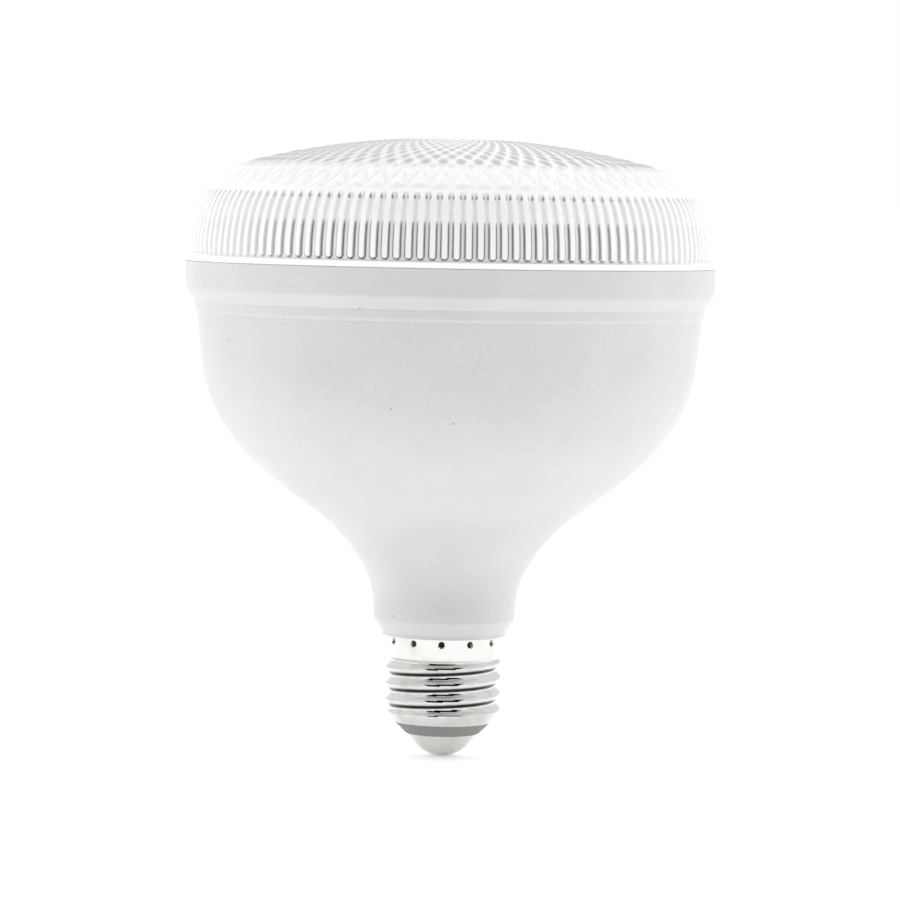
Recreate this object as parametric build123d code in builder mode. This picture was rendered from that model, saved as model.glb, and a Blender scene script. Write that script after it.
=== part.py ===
from build123d import *
import math
import os

os.makedirs("parts", exist_ok=True)

# LED torch bulb, cap down and lens up. All sizes are millimetres.
# The origin is the tip of the centre contact, on the bulb's axis, with +Z towards the lens.

# E27 screw cap
thread_pitch = 3.629
thread_crest_radius = 13.15
thread_root_radius = 12.1
thread_crest_height = 12.6
thread_runout = 1.0
thread_columns = 60
thread_rows = 28
inner_thread_columns = 30
inner_thread_rows = 18
sheet_thickness = 0.35
cap_height = 27.6
skirt_radius = 12.8
skirt_height = 4.7
shell_bottom = 7.8
shell_bottom_radius = 11.15
shell_cone_height = 1.8
cone_radius = 12.6
contact_height = 5.2
contact_radius = 8.15
contact_nose_radius = 5.4
contact_nose_height = 1.9
contact_wall = 0.5
insulator_step = 0.25
insulator_bore_radius = 1.4
insulator_top = 11.0
punch_count = 12
punch_start_angle = -92
punch_radius = 0.7
punch_tip_radius = 0.25
punch_depth = 0.7
punch_below_rim = 1.2

# Clearances
fit_gap = 0.1
seat_gap = 0.02

# Moulded housing: heights are above the cap
housing_wall = 1.5
neck_lip_radius = 14.05
neck_lip_height = 0.8
neck_chamfer_height = 3.0
neck_radius = 16.3
neck_straight = 4.2
neck_start_height = 8.0
flare_radius = 18.4
flare_height = 15.0
flank_radius = 31.0
flank_height = 28.8
shoulder_radius = 45.3
shoulder_height = 40.5
waist_radius = 55.9
waist_height = 62.2
housing_height = 83.7
bell_top_radius = 57.0
collar_radius = 59.8
collar_draft = 0.15
collar_height = 6.1
collar_wall = 1.8
collar_edge_radius = 1.2
chamfer_height = 2.7
chamfer_depth = 2.05
band_height = 1.9
band_draft = 0.25
band_step = 0.7
spigot_wall = 1.4
spigot_length = 13.6
spigot_chamfer = 0.6
neck_floor = 1.6
wire_slot_width = 1.4
wire_slot_length = 6.5
guide_width = 1.2
guide_depth = 1.2
guide_length = 8.0

# Aluminium cup and LED board
cup_wall = 1.0
cup_flange_thickness = 1.5
cup_flange_inner_radius = 46.5
cup_bottom_height = 27.0
cup_boss_radius = 2.6
cup_boss_length = 3.0
led_board_thickness = 1.4
led_board_bore_radius = 4.5
screw_count = 4
screw_circle_radius = 50.0
screw_radius = 1.25
screw_head_radius = 2.6
screw_head_height = 1.8
screw_head_taper = 15
screw_length = 5.0
screw_slot_width = 0.8
screw_slot_length = 3.0
screw_slot_depth = 0.9
led_length = 3.5
led_width = 2.8
led_height = 0.7
led_window_depth = 0.35
led_window_margin = 0.4
led_rings = [(8, 16.0), (16, 29.0), (24, 41.0)]

# Prismatic lens: heights are above the collar
lens_wall = 1.9
lens_rise = 28.4
lip_height = 1.5
lip_edge = 0.35
plug_wall = 1.4
plug_length = 3.5
snap_radius = 0.3
snap_drop = 2.0
rib_count = 144
rib_share = 0.6
rib_radius = 59.2
rib_depth = 0.7
rib_top_height = 15.5
rib_end_length = 0.6
groove_end_length = 0.7
rib_steps = 4
bulge_depth = 5.85
bulge_height = 15.1
dome_radius = 170.0
dome_edge_radius = 44.0
diamond_count = 72
diamond_rows = 14
diamond_row_ratio = 0.9
diamond_border = 2.3
diamond_relief = 0.011

# Driver board and its components: places are (x, height above the board's lower edge)
driver_thickness = 1.6
driver_tongue_width = 24.0
driver_tongue_height = 27.0
driver_width = 40.0
driver_height = 61.0
lead_radius = 0.35
lead_reach = 1.2
lead_bend = 0.7
wire_radius = 0.6
wire_bend = 1.6
package_draft = 4
leg_reach_share = 1 / 3
bulk_capacitor_place = (-9.0, 53.5)
bulk_capacitor_radius = 6.5
bulk_capacitor_length = 20.0
bulk_capacitor_pitch = 5.0
output_capacitor_place = (11.0, 54.0)
output_capacitor_radius = 4.0
output_capacitor_length = 12.0
output_capacitor_pitch = 3.5
crimp_groove_depth = 0.5
crimp_groove_height = 2.0
film_capacitor_edge_radius = 0.5
transformer_place = (7.5, 38.0)
core_width = 19.0
core_length = 16.0
core_depth = 4.8
core_leg = 4.8
core_window_width = 4.6
core_window_length = 11.2
bobbin_wall = 0.7
bobbin_flange = 1.0
bobbin_depth = 12.8
winding_depth = 2.3
winding_corner_radius = 1.15
film_capacitor_place = (-10.5, 40.5)
film_capacitor_size = (12.0, 5.0, 9.0)
film_capacitor_pitch = 10.0
varistor_place = (-9.5, 32.0)
varistor_radius = 5.0
varistor_thickness = 3.6
varistor_edge_radius = 1.2
varistor_stand_off = 1.5
varistor_pitch = 5.0
bridge_place = (0.0, 20.5)
bridge_size = (8.4, 6.4, 2.6)
bridge_chamfer = 0.85
bridge_pitch = 5.1
fuse_place = (0.0, 11.5)
fuse_radius = 1.7
fuse_edge_radius = 0.55
fuse_length = 8.0
fuse_pitch = 12.0
fuse_stand_off = 0.4
ic_place = (7.0, 31.0)
ic_size = (4.9, 3.9, 1.5)
ic_leg_pitch = 1.27
ic_leg_size = (0.42, 1.05, 0.9)
transistor_place = (-6.4, 35.2)
transistor_size = (6.6, 6.1, 2.3)
transistor_tab_size = (5.2, 1.2, 0.6)
transistor_leg_size = (0.8, 2.2, 0.6)
transistor_leg_pitch = 4.57
diode_place = (-8.0, 50.0)
diode_size = (4.6, 3.6, 2.3)
diode_terminal_size = (0.7, 2.2, 1.1)
chip_place = (8.0, 49.0)
chip_size = (3.2, 1.6, 0.6)
chip_pitch = (5.0, 3.0)
mains_wire_place = (4.5, 4.5)
output_wire_place = (2.2, 57.5)
output_pad_radius = 9.0

# Sizes that follow from those above
collar_top = cap_height + housing_height
collar_bottom = collar_top - collar_height
bell_top = collar_bottom - chamfer_height - band_height - band_step
skirt_bottom = cap_height - skirt_height
thread_bottom = shell_bottom + shell_cone_height
thread_length = skirt_bottom - thread_bottom
ledge_inner_radius = bell_top_radius - housing_wall
collar_inner_radius = collar_radius - collar_wall
lens_apex = collar_top + lens_rise


def thread_radius(height):
    """Outer radius of the rolled thread, this far above the middle of a crest."""
    rise = (thread_crest_radius - thread_root_radius) / 2
    quarter = thread_pitch / 4
    rounding = (quarter**2 + rise**2) / (2 * rise)
    off_crest = abs((height / thread_pitch + 0.5) % 1 - 0.5) * thread_pitch
    if off_crest <= quarter:
        return thread_crest_radius - rounding + math.sqrt(rounding**2 - off_crest**2)
    off_root = thread_pitch / 2 - off_crest
    return thread_root_radius + rounding - math.sqrt(rounding**2 - off_root**2)


def at(radius, height, angle):
    """Point by radius, height and angle about the axis."""
    return Vector(radius * math.cos(angle), radius * math.sin(angle), height)


def facet(*corners):
    """Flat face through these corners."""
    return Face(Wire.make_polygon(corners, close=True))


def thread_ring(height, inset, columns):
    """Level ring of the rolled thread, which fades into the skirt above and the cone below."""
    above = max(0, 1 - (skirt_bottom - height) / thread_runout)
    below = max(0, 1 - (height - thread_bottom) / thread_runout)
    ring = []
    for index in range(columns):
        turn = index / columns
        crest_height = thread_crest_height + thread_pitch * (turn - 0.5)
        radius = thread_radius(height - crest_height)
        radius += above * (skirt_radius - radius) + below * (cone_radius - radius)
        ring.append(at(radius - inset, height, 2 * math.pi * turn))
    return ring


def thread_skin(inset, columns, rows):
    """Rings of one side of the sheet, from the skirt down to the shell's open bottom."""
    rings = [
        thread_ring(skirt_bottom - thread_length * row / rows, inset, columns) for row in range(rows + 1)
    ]
    bottom = shell_bottom_radius - inset
    rings.append([at(bottom, shell_bottom, 2 * math.pi * index / columns) for index in range(columns)])
    return rings


def skin_facets(rings):
    """Triangles between each ring and the next."""
    facets = []
    for upper, lower in zip(rings, rings[1:]):
        for index in range(len(upper)):
            last = index - 1
            facets.append(facet(upper[last], upper[index], lower[last]))
            facets.append(facet(upper[index], lower[index], lower[last]))
    return facets


# Screw shell: rolled sheet with a right-hand thread, a plain skirt and a turned-in bottom
skirt_inner_radius = skirt_radius - sheet_thickness
punch_height = cap_height - punch_below_rim
outer_rings = thread_skin(0, thread_columns, thread_rows)
inner_rings = thread_skin(sheet_thickness, inner_thread_columns, inner_thread_rows)
thread_facets = skin_facets(outer_rings) + skin_facets(inner_rings)
for outer_ring, inner_ring in ((outer_rings[0], inner_rings[0]), (outer_rings[-1], inner_rings[-1])):
    outer_edge = Wire.make_polygon(outer_ring, close=True)
    inner_edge = Wire.make_polygon(inner_ring, close=True)
    thread_facets.append(Face(outer_edge, [inner_edge]))

with BuildPart() as cap_shell:
    with BuildSketch(Plane.XY.offset(skirt_bottom)):
        Circle(skirt_radius)
        Circle(skirt_inner_radius, mode=Mode.SUBTRACT)
    extrude(amount=skirt_height)
    # punch marks that lock the shell to the neck
    with Locations((0, 0, punch_height)):
        with PolarLocations(skirt_radius, punch_count, start_angle=punch_start_angle):
            Cone(
                punch_radius + sheet_thickness,
                punch_tip_radius + sheet_thickness,
                punch_depth + sheet_thickness / 2,
                rotation=(0, -90, 0),
                align=(Align.CENTER, Align.CENTER, Align.MIN),
            )
    with Locations((0, 0, punch_height)):
        with PolarLocations(skirt_radius + seat_gap, punch_count, start_angle=punch_start_angle):
            Cone(
                punch_radius,
                punch_tip_radius,
                punch_depth,
                rotation=(0, -90, 0),
                align=(Align.CENTER, Align.CENTER, Align.MIN),
                mode=Mode.SUBTRACT,
            )
    with BuildSketch(Plane.XY.offset(cap_height)):
        Circle(skirt_radius + punch_depth)
        Circle(skirt_radius, mode=Mode.SUBTRACT)
    extrude(amount=-skirt_height / 2, mode=Mode.SUBTRACT)
    add(Solid(Shell(thread_facets)))
cap_shell.part.label = "cap_shell"
export_step(cap_shell.part, "parts/cap_shell.step")

# Centre contact: pressed dish with a rounded nose
nose_sphere = (contact_nose_radius**2 + contact_nose_height**2) / (2 * contact_nose_height)
with BuildPart() as centre_contact:
    with BuildSketch(Plane.XZ):
        with BuildLine():
            nose = RadiusArc((0, 0), (contact_nose_radius, contact_nose_height), -nose_sphere)
            Line(nose @ 1, (contact_radius, contact_height))
            Line((contact_radius, contact_height), (0, contact_height))
            Line((0, contact_height), (0, 0))
        make_face()
    revolve(axis=Axis.Z)
    offset(amount=-contact_wall, openings=centre_contact.faces().sort_by(Axis.Z)[-1])
centre_contact.part.label = "centre_contact"
export_step(centre_contact.part, "parts/centre_contact.step")

# Insulator: grey moulded cone that spaces the contact from the shell
insulator_radius = shell_bottom_radius - fit_gap
insulator_neck_radius = shell_bottom_radius - sheet_thickness - fit_gap
dish_radius = contact_radius - 2 * contact_wall - fit_gap
with BuildPart() as cap_insulator:
    with BuildSketch(Plane.XZ):
        with BuildLine():
            Polyline(
                (insulator_bore_radius, contact_height - contact_wall),
                (dish_radius, contact_height - contact_wall),
                (dish_radius, contact_height),
                (contact_radius + insulator_step, contact_height),
                (insulator_radius, shell_bottom - seat_gap),
                (insulator_neck_radius, shell_bottom - seat_gap),
                (insulator_neck_radius, insulator_top),
                (insulator_bore_radius, insulator_top),
                close=True,
            )
        make_face()
    revolve(axis=Axis.Z)
cap_insulator.part.label = "cap_insulator"
export_step(cap_insulator.part, "parts/cap_insulator.step")


def bell_line():
    """Outer line of the bell, from the collar's band down to the neck's chamfer."""
    waist = (waist_radius, cap_height + waist_height)
    shoulder = (shoulder_radius, cap_height + shoulder_height)
    flank = (flank_radius, cap_height + flank_height)
    flare = (flare_radius, cap_height + flare_height)
    neck = (neck_radius, cap_height + neck_start_height)
    side = Line((bell_top_radius, bell_top), waist)
    upper = TangentArc(waist, shoulder, tangent=side % 1)
    lower = TangentArc(shoulder, flank, tangent=upper % 1)
    hollow = TangentArc(flank, flare, tangent=lower % 1)
    throat = TangentArc(flare, neck, tangent=hollow % 1)
    return PolarLine(neck, neck_straight, direction=throat % 1)


# Housing: white moulded shell of collar, bell and neck, with a spigot that carries the cap
spigot_upper_radius = skirt_inner_radius - fit_gap
spigot_lower_radius = thread_root_radius - sheet_thickness - fit_gap
spigot_inner_radius = spigot_lower_radius - spigot_wall
spigot_bottom = cap_height - spigot_length
spigot_step = skirt_bottom + spigot_chamfer
floor_top = cap_height + neck_floor
ledge_height = collar_top - plug_length - led_board_thickness - cup_flange_thickness - 3 * seat_gap
chamfer_bottom = collar_bottom - chamfer_height
chamfer_foot_radius = collar_radius - collar_draft - chamfer_depth
band_bottom = chamfer_bottom - band_height
floor_radius = driver_tongue_width / 2 + spigot_chamfer
lens_plug_radius = collar_inner_radius - fit_gap
guide_bottom = cap_height + neck_lip_height + neck_chamfer_height
guide_reach = neck_radius - housing_wall / 2
guide_span = guide_reach - driver_tongue_width / 2 + guide_depth
guide_centre = guide_reach - guide_span / 2

with BuildPart() as housing:
    with BuildSketch(Plane.XZ):
        with BuildLine():
            neck_line = bell_line()
            offset(amount=housing_wall, side=Side.RIGHT, closed=True)
        make_face()
        neck_end = neck_line @ 1
        neck_inner_end = neck_end + (neck_line % 1).rotate(Axis.Z, -90) * housing_wall
        with BuildLine():
            FilletPolyline(
                (ledge_inner_radius, bell_top),
                (bell_top_radius, bell_top),
                (chamfer_foot_radius - band_draft, band_bottom),
                (chamfer_foot_radius, chamfer_bottom),
                (collar_radius - collar_draft, collar_bottom),
                (collar_radius, collar_top),
                (collar_inner_radius, collar_top),
                (collar_inner_radius, ledge_height),
                (ledge_inner_radius, ledge_height),
                radius=[0, 0, 0, 0, collar_edge_radius, 0, 0, 0, 0],
                close=True,
            )
        make_face()
        with BuildLine():
            Polyline(
                neck_end,
                (neck_lip_radius, cap_height + neck_lip_height),
                (neck_lip_radius, cap_height),
                (spigot_upper_radius, cap_height),
                (spigot_upper_radius, spigot_step),
                (spigot_lower_radius, spigot_step),
                (spigot_lower_radius, spigot_bottom),
                (spigot_inner_radius, spigot_bottom),
                (spigot_inner_radius, floor_top),
                (floor_radius, floor_top),
                neck_inner_end,
                close=True,
            )
        make_face()
    revolve(axis=Axis.Z)
    # ribs that guide the driver board's tongue
    with BuildSketch(Plane.XY.offset(guide_bottom)):
        with GridLocations(2 * guide_centre, driver_thickness + 2 * fit_gap + guide_width, 2, 2):
            Rectangle(guide_span, guide_width)
    extrude(amount=guide_length)
    # slot for the neutral wire, and pockets behind the shell's punch marks
    with BuildSketch(Plane.XY.offset(spigot_bottom)):
        with Locations((-spigot_lower_radius, 0)):
            Rectangle(4 * spigot_wall, wire_slot_width)
    extrude(amount=wire_slot_length, mode=Mode.SUBTRACT)
    with Locations((0, 0, punch_height)):
        with PolarLocations(skirt_radius, punch_count, start_angle=punch_start_angle):
            Cone(
                punch_radius + sheet_thickness + 2 * fit_gap,
                punch_tip_radius + sheet_thickness + 2 * fit_gap,
                punch_depth + sheet_thickness,
                rotation=(0, -90, 0),
                align=(Align.CENTER, Align.CENTER, Align.MIN),
                mode=Mode.SUBTRACT,
            )
    # groove that the lens snaps into
    with BuildSketch(Plane.XZ):
        with Locations((lens_plug_radius, collar_top - snap_drop)):
            Circle(snap_radius + fit_gap)
    revolve(axis=Axis.Z, mode=Mode.SUBTRACT)
housing.part.label = "housing"
export_step(housing.part, "parts/housing.step")

# Aluminium cup: lines the bell, spreads the heat and carries the LED board on its flange
flange_bottom = ledge_height + seat_gap
flange_top = flange_bottom + cup_flange_thickness
with BuildPart() as heat_sink_cup:
    with BuildSketch(Plane.XZ):
        with BuildLine():
            with BuildLine(mode=Mode.PRIVATE) as bell:
                bell_line()
            add(offset(bell.line, housing_wall + fit_gap, side=Side.RIGHT, closed=False))
            offset(amount=cup_wall, side=Side.RIGHT, closed=True)
        make_face()
        # the cup is open below, where the driver board reaches down to the neck
        Rectangle(4 * collar_radius, 2 * (cap_height + cup_bottom_height), mode=Mode.SUBTRACT)
        with BuildLine():
            Polyline(
                (ledge_inner_radius - fit_gap, bell_top),
                (ledge_inner_radius - fit_gap, flange_bottom),
                (collar_inner_radius - fit_gap, flange_bottom),
                (collar_inner_radius - fit_gap, flange_top),
                (cup_flange_inner_radius, flange_top),
                (cup_flange_inner_radius, flange_bottom),
                (ledge_inner_radius - fit_gap - cup_wall, flange_bottom),
                (ledge_inner_radius - fit_gap - cup_wall, bell_top),
                close=True,
            )
        make_face()
    revolve(axis=Axis.Z)
    with BuildSketch(Plane.XY.offset(flange_bottom)):
        with PolarLocations(screw_circle_radius, screw_count):
            Circle(cup_boss_radius)
    extrude(amount=-cup_boss_length)
    with BuildSketch(Plane.XY.offset(flange_top)):
        with PolarLocations(screw_circle_radius, screw_count):
            Circle(screw_radius + seat_gap)
    extrude(amount=-(cup_flange_thickness + cup_boss_length), mode=Mode.SUBTRACT)
heat_sink_cup.part.label = "heat_sink_cup"
export_step(heat_sink_cup.part, "parts/heat_sink_cup.step")

# LED board: aluminium-core disc, clamped at its edge by the lens
led_board_bottom = flange_top + seat_gap
led_board_top = led_board_bottom + led_board_thickness
with BuildPart() as led_board:
    with BuildSketch(Plane.XY.offset(led_board_bottom)):
        Circle(collar_inner_radius - fit_gap)
        Circle(led_board_bore_radius, mode=Mode.SUBTRACT)
        with PolarLocations(screw_circle_radius, screw_count):
            Circle(screw_radius + fit_gap, mode=Mode.SUBTRACT)
    extrude(amount=led_board_thickness)
led_board.part.label = "led_board"
export_step(led_board.part, "parts/led_board.step")

# Screws through the board into the cup's bosses
screw_seat = led_board_top + seat_gap
with BuildPart() as board_screws:
    with BuildSketch(Plane.XY.offset(screw_seat)):
        with PolarLocations(screw_circle_radius, screw_count):
            Circle(screw_head_radius)
    extrude(amount=screw_head_height, taper=screw_head_taper)
    with BuildSketch(Plane.XY.offset(screw_seat)):
        with PolarLocations(screw_circle_radius, screw_count):
            Circle(screw_radius)
    extrude(amount=-screw_length)
    with BuildSketch(Plane.XY.offset(screw_seat + screw_head_height)):
        with PolarLocations(screw_circle_radius, screw_count):
            Rectangle(screw_slot_length, screw_slot_width)
            Rectangle(screw_slot_width, screw_slot_length)
    extrude(amount=-screw_slot_depth, mode=Mode.SUBTRACT)
board_screws.part.label = "board_screws"
export_step(board_screws.part, "parts/board_screws.step")

# LED packages: white frames with a recess for the phosphor
led_seat = led_board_top + seat_gap
with BuildPart() as led_packages:
    for count, radius in led_rings:
        with BuildSketch(Plane.XY.offset(led_seat)):
            with PolarLocations(radius, count):
                Rectangle(led_length, led_width)
    extrude(amount=led_height)
    for count, radius in led_rings:
        with BuildSketch(Plane.XY.offset(led_seat + led_height)):
            with PolarLocations(radius, count):
                Rectangle(led_length - 2 * led_window_margin, led_width - 2 * led_window_margin)
    extrude(amount=-led_window_depth, mode=Mode.SUBTRACT)
led_packages.part.label = "led_packages"
export_step(led_packages.part, "parts/led_packages.step")

with BuildPart() as led_phosphors:
    for count, radius in led_rings:
        with BuildSketch(Plane.XY.offset(led_seat + led_height - led_window_depth + seat_gap)):
            with PolarLocations(radius, count):
                Rectangle(
                    led_length - 2 * led_window_margin - 2 * seat_gap,
                    led_width - 2 * led_window_margin - 2 * seat_gap,
                )
    extrude(amount=led_window_depth - 2 * seat_gap)
led_phosphors.part.label = "led_phosphors"
export_step(led_phosphors.part, "parts/led_phosphors.step")

# Prismatic lens: diamonds on the dome, upright ribs round the side, a plain lip and a plug
rib_pitch = 2 * math.pi / rib_count
diamond_pitch = 2 * math.pi / diamond_count
lip_bottom = collar_top + seat_gap
lip_top = collar_top + lip_height
flank_bottom = lip_top + rib_end_length
rib_top = collar_top + rib_top_height
flank_end = math.asin((rib_top - flank_bottom) / bulge_height)


def flank(turn, inset=0.0):
    """Point (radius, height) of the bulged side: turn 0 is its foot, flank_end is its top."""
    radius = rib_radius - bulge_depth * (1 - math.cos(turn))
    height = flank_bottom + bulge_height * math.sin(turn)
    across = math.cos(turn) / bulge_depth
    along = math.sin(turn) / bulge_height
    length = math.hypot(across, along)
    return radius - inset * across / length, height - inset * along / length


rib_top_radius = flank(flank_end)[0]
dome_slope = math.asin(dome_edge_radius / dome_radius)
dome_centre = lens_apex - dome_radius
dome_edge_height = dome_centre + dome_radius * math.cos(dome_slope)
edge_run = rib_top_radius - dome_edge_radius
edge_drop = dome_edge_height - rib_top
edge_bend = edge_drop * math.cos(dome_slope) - edge_run * math.sin(dome_slope)
edge_radius = (edge_run**2 + edge_drop**2) / (2 * edge_bend)
edge_centre_radius = dome_edge_radius - edge_radius * math.sin(dome_slope)
edge_centre_height = dome_edge_height - edge_radius * math.cos(dome_slope)


def dome_height(radius):
    """Height of the dome's outer face, on its crown or on its rounded edge."""
    if radius <= dome_edge_radius:
        return dome_centre + math.sqrt(dome_radius**2 - radius**2)
    return edge_centre_height + math.sqrt(edge_radius**2 - (radius - edge_centre_radius) ** 2)


def diamond_facets(ring_radii):
    """Pyramids on rhombi that lie in staggered rings from the border in to the crown."""
    facets = []
    last = len(ring_radii) - 1
    for index in range(diamond_count):
        for row, radius in enumerate(ring_radii):
            middle = (index + (row + 1) % 2 / 2) * diamond_pitch
            left = at(radius, dome_height(radius), middle - diamond_pitch / 2)
            right = at(radius, dome_height(radius), middle + diamond_pitch / 2)
            outer = inner = None
            if row > 0:
                outer_radius = ring_radii[row - 1]
                outer = at(outer_radius, dome_height(outer_radius), middle)
            if row < last:
                inner_radius = ring_radii[row + 1]
                inner = at(inner_radius, dome_height(inner_radius), middle)
            if row == 0:
                edge = at(radius, dome_height(radius), middle)
                facets += [facet(left, inner, edge), facet(edge, inner, right)]
            elif row == last:
                facets.append(facet(left, right, outer))
            else:
                peak = at(radius, dome_height(radius) + diamond_relief * radius, middle)
                corners = [outer, left, inner, right]
                facets += [facet(corners[i - 1], corners[i], peak) for i in range(4)]
        crown_angle = (index + (last + 1) % 2 / 2) * diamond_pitch
        crown = ring_radii[last]
        facets.append(
            facet(
                at(crown, dome_height(crown), crown_angle - diamond_pitch / 2),
                at(crown, dome_height(crown), crown_angle + diamond_pitch / 2),
                Vector(0, 0, lens_apex),
            )
        )
    return facets


def rib_facets(border_radius):
    """Ribs with narrow grooves between them, from the dome's border down to the lip."""
    facets = []
    share = (1 - rib_share) / 2
    first = flank_end - groove_end_length / bulge_height / math.cos(flank_end)
    turns = [first * (1 - step / rib_steps) for step in range(rib_steps + 1)]
    base_radius = rib_radius - rib_depth
    for index in range(rib_count):
        start = index * rib_pitch
        left, right = start + share * rib_pitch, start + (1 - share) * rib_pitch
        end, next_left = start + rib_pitch, start + (1 + share) * rib_pitch
        border = [at(border_radius, dome_height(border_radius), angle) for angle in (start, end)]
        top = [at(rib_top_radius, rib_top, angle) for angle in (left, right, next_left)]
        facets += [
            facet(border[0], border[1], top[1], top[0]),
            facet(border[1], top[2], top[1]),
        ]
        rows = []
        for turn in turns:
            crest, root = flank(turn), flank(turn, rib_depth)
            rows.append([at(*crest, left), at(*crest, right), at(*root, end), at(*crest, next_left)])
        facets += [
            facet(top[0], top[1], rows[0][1], rows[0][0]),
            facet(top[1], rows[0][2], rows[0][1]),
            facet(top[1], top[2], rows[0][2]),
            facet(top[2], rows[0][3], rows[0][2]),
        ]
        rows.append([at(base_radius, lip_top, angle) for angle in (left, right, end, next_left)])
        for upper, lower in zip(rows, rows[1:]):
            facets += [
                facet(upper[0], upper[1], lower[1], lower[0]),
                facet(upper[1], upper[2], lower[1]),
                facet(upper[2], lower[2], lower[1]),
                facet(upper[2], upper[3], lower[2]),
                facet(upper[3], lower[3], lower[2]),
            ]
        shoulder = [at(collar_radius, lip_top - lip_edge, angle) for angle in (start, end)]
        foot = [at(collar_radius, lip_bottom, angle) for angle in (start, end)]
        facets += [
            facet(rows[-1][0], rows[-1][1], shoulder[1], shoulder[0]),
            facet(rows[-1][1], rows[-1][2], shoulder[1]),
            facet(rows[-1][2], rows[-1][3], shoulder[1]),
            facet(shoulder[0], shoulder[1], foot[1], foot[0]),
        ]
    return facets


border_radius = rib_top_radius - diamond_border
diamond_rings = [border_radius * diamond_row_ratio**row for row in range(diamond_rows + 1)]
lip_outline = [at(collar_radius, lip_bottom, index * rib_pitch) for index in range(rib_count)]
lens_facets = diamond_facets(diamond_rings) + rib_facets(border_radius) + [facet(*lip_outline)]
plug_inner_radius = lens_plug_radius - plug_wall
plug_bottom = collar_top - plug_length
cavity_turns = [flank_end * step / rib_steps for step in range(rib_steps, -1, -1)]

with BuildPart() as lens_cover:
    add(Solid(Shell(lens_facets)))
    with BuildSketch(Plane.XZ):
        with BuildLine():
            Polyline(
                (plug_inner_radius, plug_bottom),
                (lens_plug_radius, plug_bottom),
                (lens_plug_radius, lip_top - lip_edge),
                (plug_inner_radius, lip_top - lip_edge),
                close=True,
            )
        make_face()
        with Locations((lens_plug_radius, collar_top - snap_drop)):
            Circle(snap_radius)
    revolve(axis=Axis.Z)
    # smooth inner wall
    with BuildSketch(Plane.XZ):
        with BuildLine():
            crown_end = (
                dome_edge_radius - lens_wall * math.sin(dome_slope),
                dome_edge_height - lens_wall * math.cos(dome_slope),
            )
            wall = Spline(*[flank(turn, lens_wall) for turn in cavity_turns])
            crown = RadiusArc((0, lens_apex - lens_wall), crown_end, dome_radius - lens_wall)
            TangentArc(crown_end, wall @ 0, tangent=crown % 1)
            Polyline(
                wall @ 1,
                (plug_inner_radius, lip_top),
                (plug_inner_radius, plug_bottom),
                (0, plug_bottom),
                (0, lens_apex - lens_wall),
            )
        make_face()
    revolve(axis=Axis.Z, mode=Mode.SUBTRACT)
lens_cover.part.label = "lens_cover"
export_step(lens_cover.part, "parts/lens_cover.step")

# Driver board: stands on the neck's floor, between the guide ribs
board_bottom = floor_top + seat_gap
board_front = -driver_thickness / 2
board_back = driver_thickness / 2
hole_radius = lead_radius + fit_gap
lead_length = driver_thickness + lead_reach


def pair(place, pitch):
    """Two points, level with this place and this far apart."""
    return [(place[0] - pitch / 2, place[1]), (place[0] + pitch / 2, place[1])]


def rail(place, pitch, spread):
    """Four points at the corners of a rectangle round this place."""
    lower = pair((place[0], place[1] - spread / 2), pitch)
    return lower + pair((place[0], place[1] + spread / 2), pitch)


def front_plane(reach):
    """Plane along the board's front, this far in front of it, with its origin at the lower edge."""
    return Plane((0, board_front - reach, board_bottom), x_dir=(1, 0, 0), z_dir=(0, -1, 0))


def back_plane(place, reach=0.0):
    """Plane on the board's back at this place, facing away from the board."""
    origin = (place[0], board_back + seat_gap + reach, board_bottom + place[1])
    return Plane(origin, x_dir=(1, 0, 0), z_dir=(0, 1, 0))


bobbin_rail = core_window_length - bobbin_flange - 2 * fit_gap
bobbin_width = core_leg + 2 * core_window_width - 2 * fit_gap
lead_places = {
    "bulk_capacitor": pair(bulk_capacitor_place, bulk_capacitor_pitch),
    "output_capacitor": pair(output_capacitor_place, output_capacitor_pitch),
    "film_capacitor": pair(film_capacitor_place, film_capacitor_pitch),
    "varistor": pair(varistor_place, varistor_pitch),
    "fuse_resistor": pair(fuse_place, fuse_pitch),
    "bridge_rectifier": rail(bridge_place, bridge_size[0] - bridge_size[2], bridge_pitch),
    "transformer_bobbin": rail(transformer_place, bobbin_width - bobbin_flange, bobbin_rail),
}
mains_wire_pads = pair((0, mains_wire_place[1]), 2 * mains_wire_place[0])
output_wire_pads = pair((0, output_wire_place[1]), 2 * output_wire_place[0])

with BuildPart() as driver_board:
    with BuildSketch(front_plane(0)):
        with BuildLine():
            tongue, wing = driver_tongue_width / 2, driver_width / 2
            Polyline(
                (-tongue, 0),
                (tongue, 0),
                (tongue, driver_tongue_height),
                (wing, driver_tongue_height),
                (wing, driver_height),
                (-wing, driver_height),
                (-wing, driver_tongue_height),
                (-tongue, driver_tongue_height),
                close=True,
            )
        make_face()
        for places in lead_places.values():
            with Locations(*places):
                Circle(hole_radius, mode=Mode.SUBTRACT)
    extrude(amount=-driver_thickness)
driver_board.part.label = "driver_board"
export_step(driver_board.part, "parts/driver_board.step")


def add_leads(name, stand_off=0.0):
    """Round leads of this component, from its base through the board."""
    with BuildSketch(front_plane(seat_gap + stand_off)) as leads:
        with Locations(*lead_places[name]):
            Circle(lead_radius)
    extrude(leads.sketch, amount=-(lead_length + stand_off))


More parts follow.
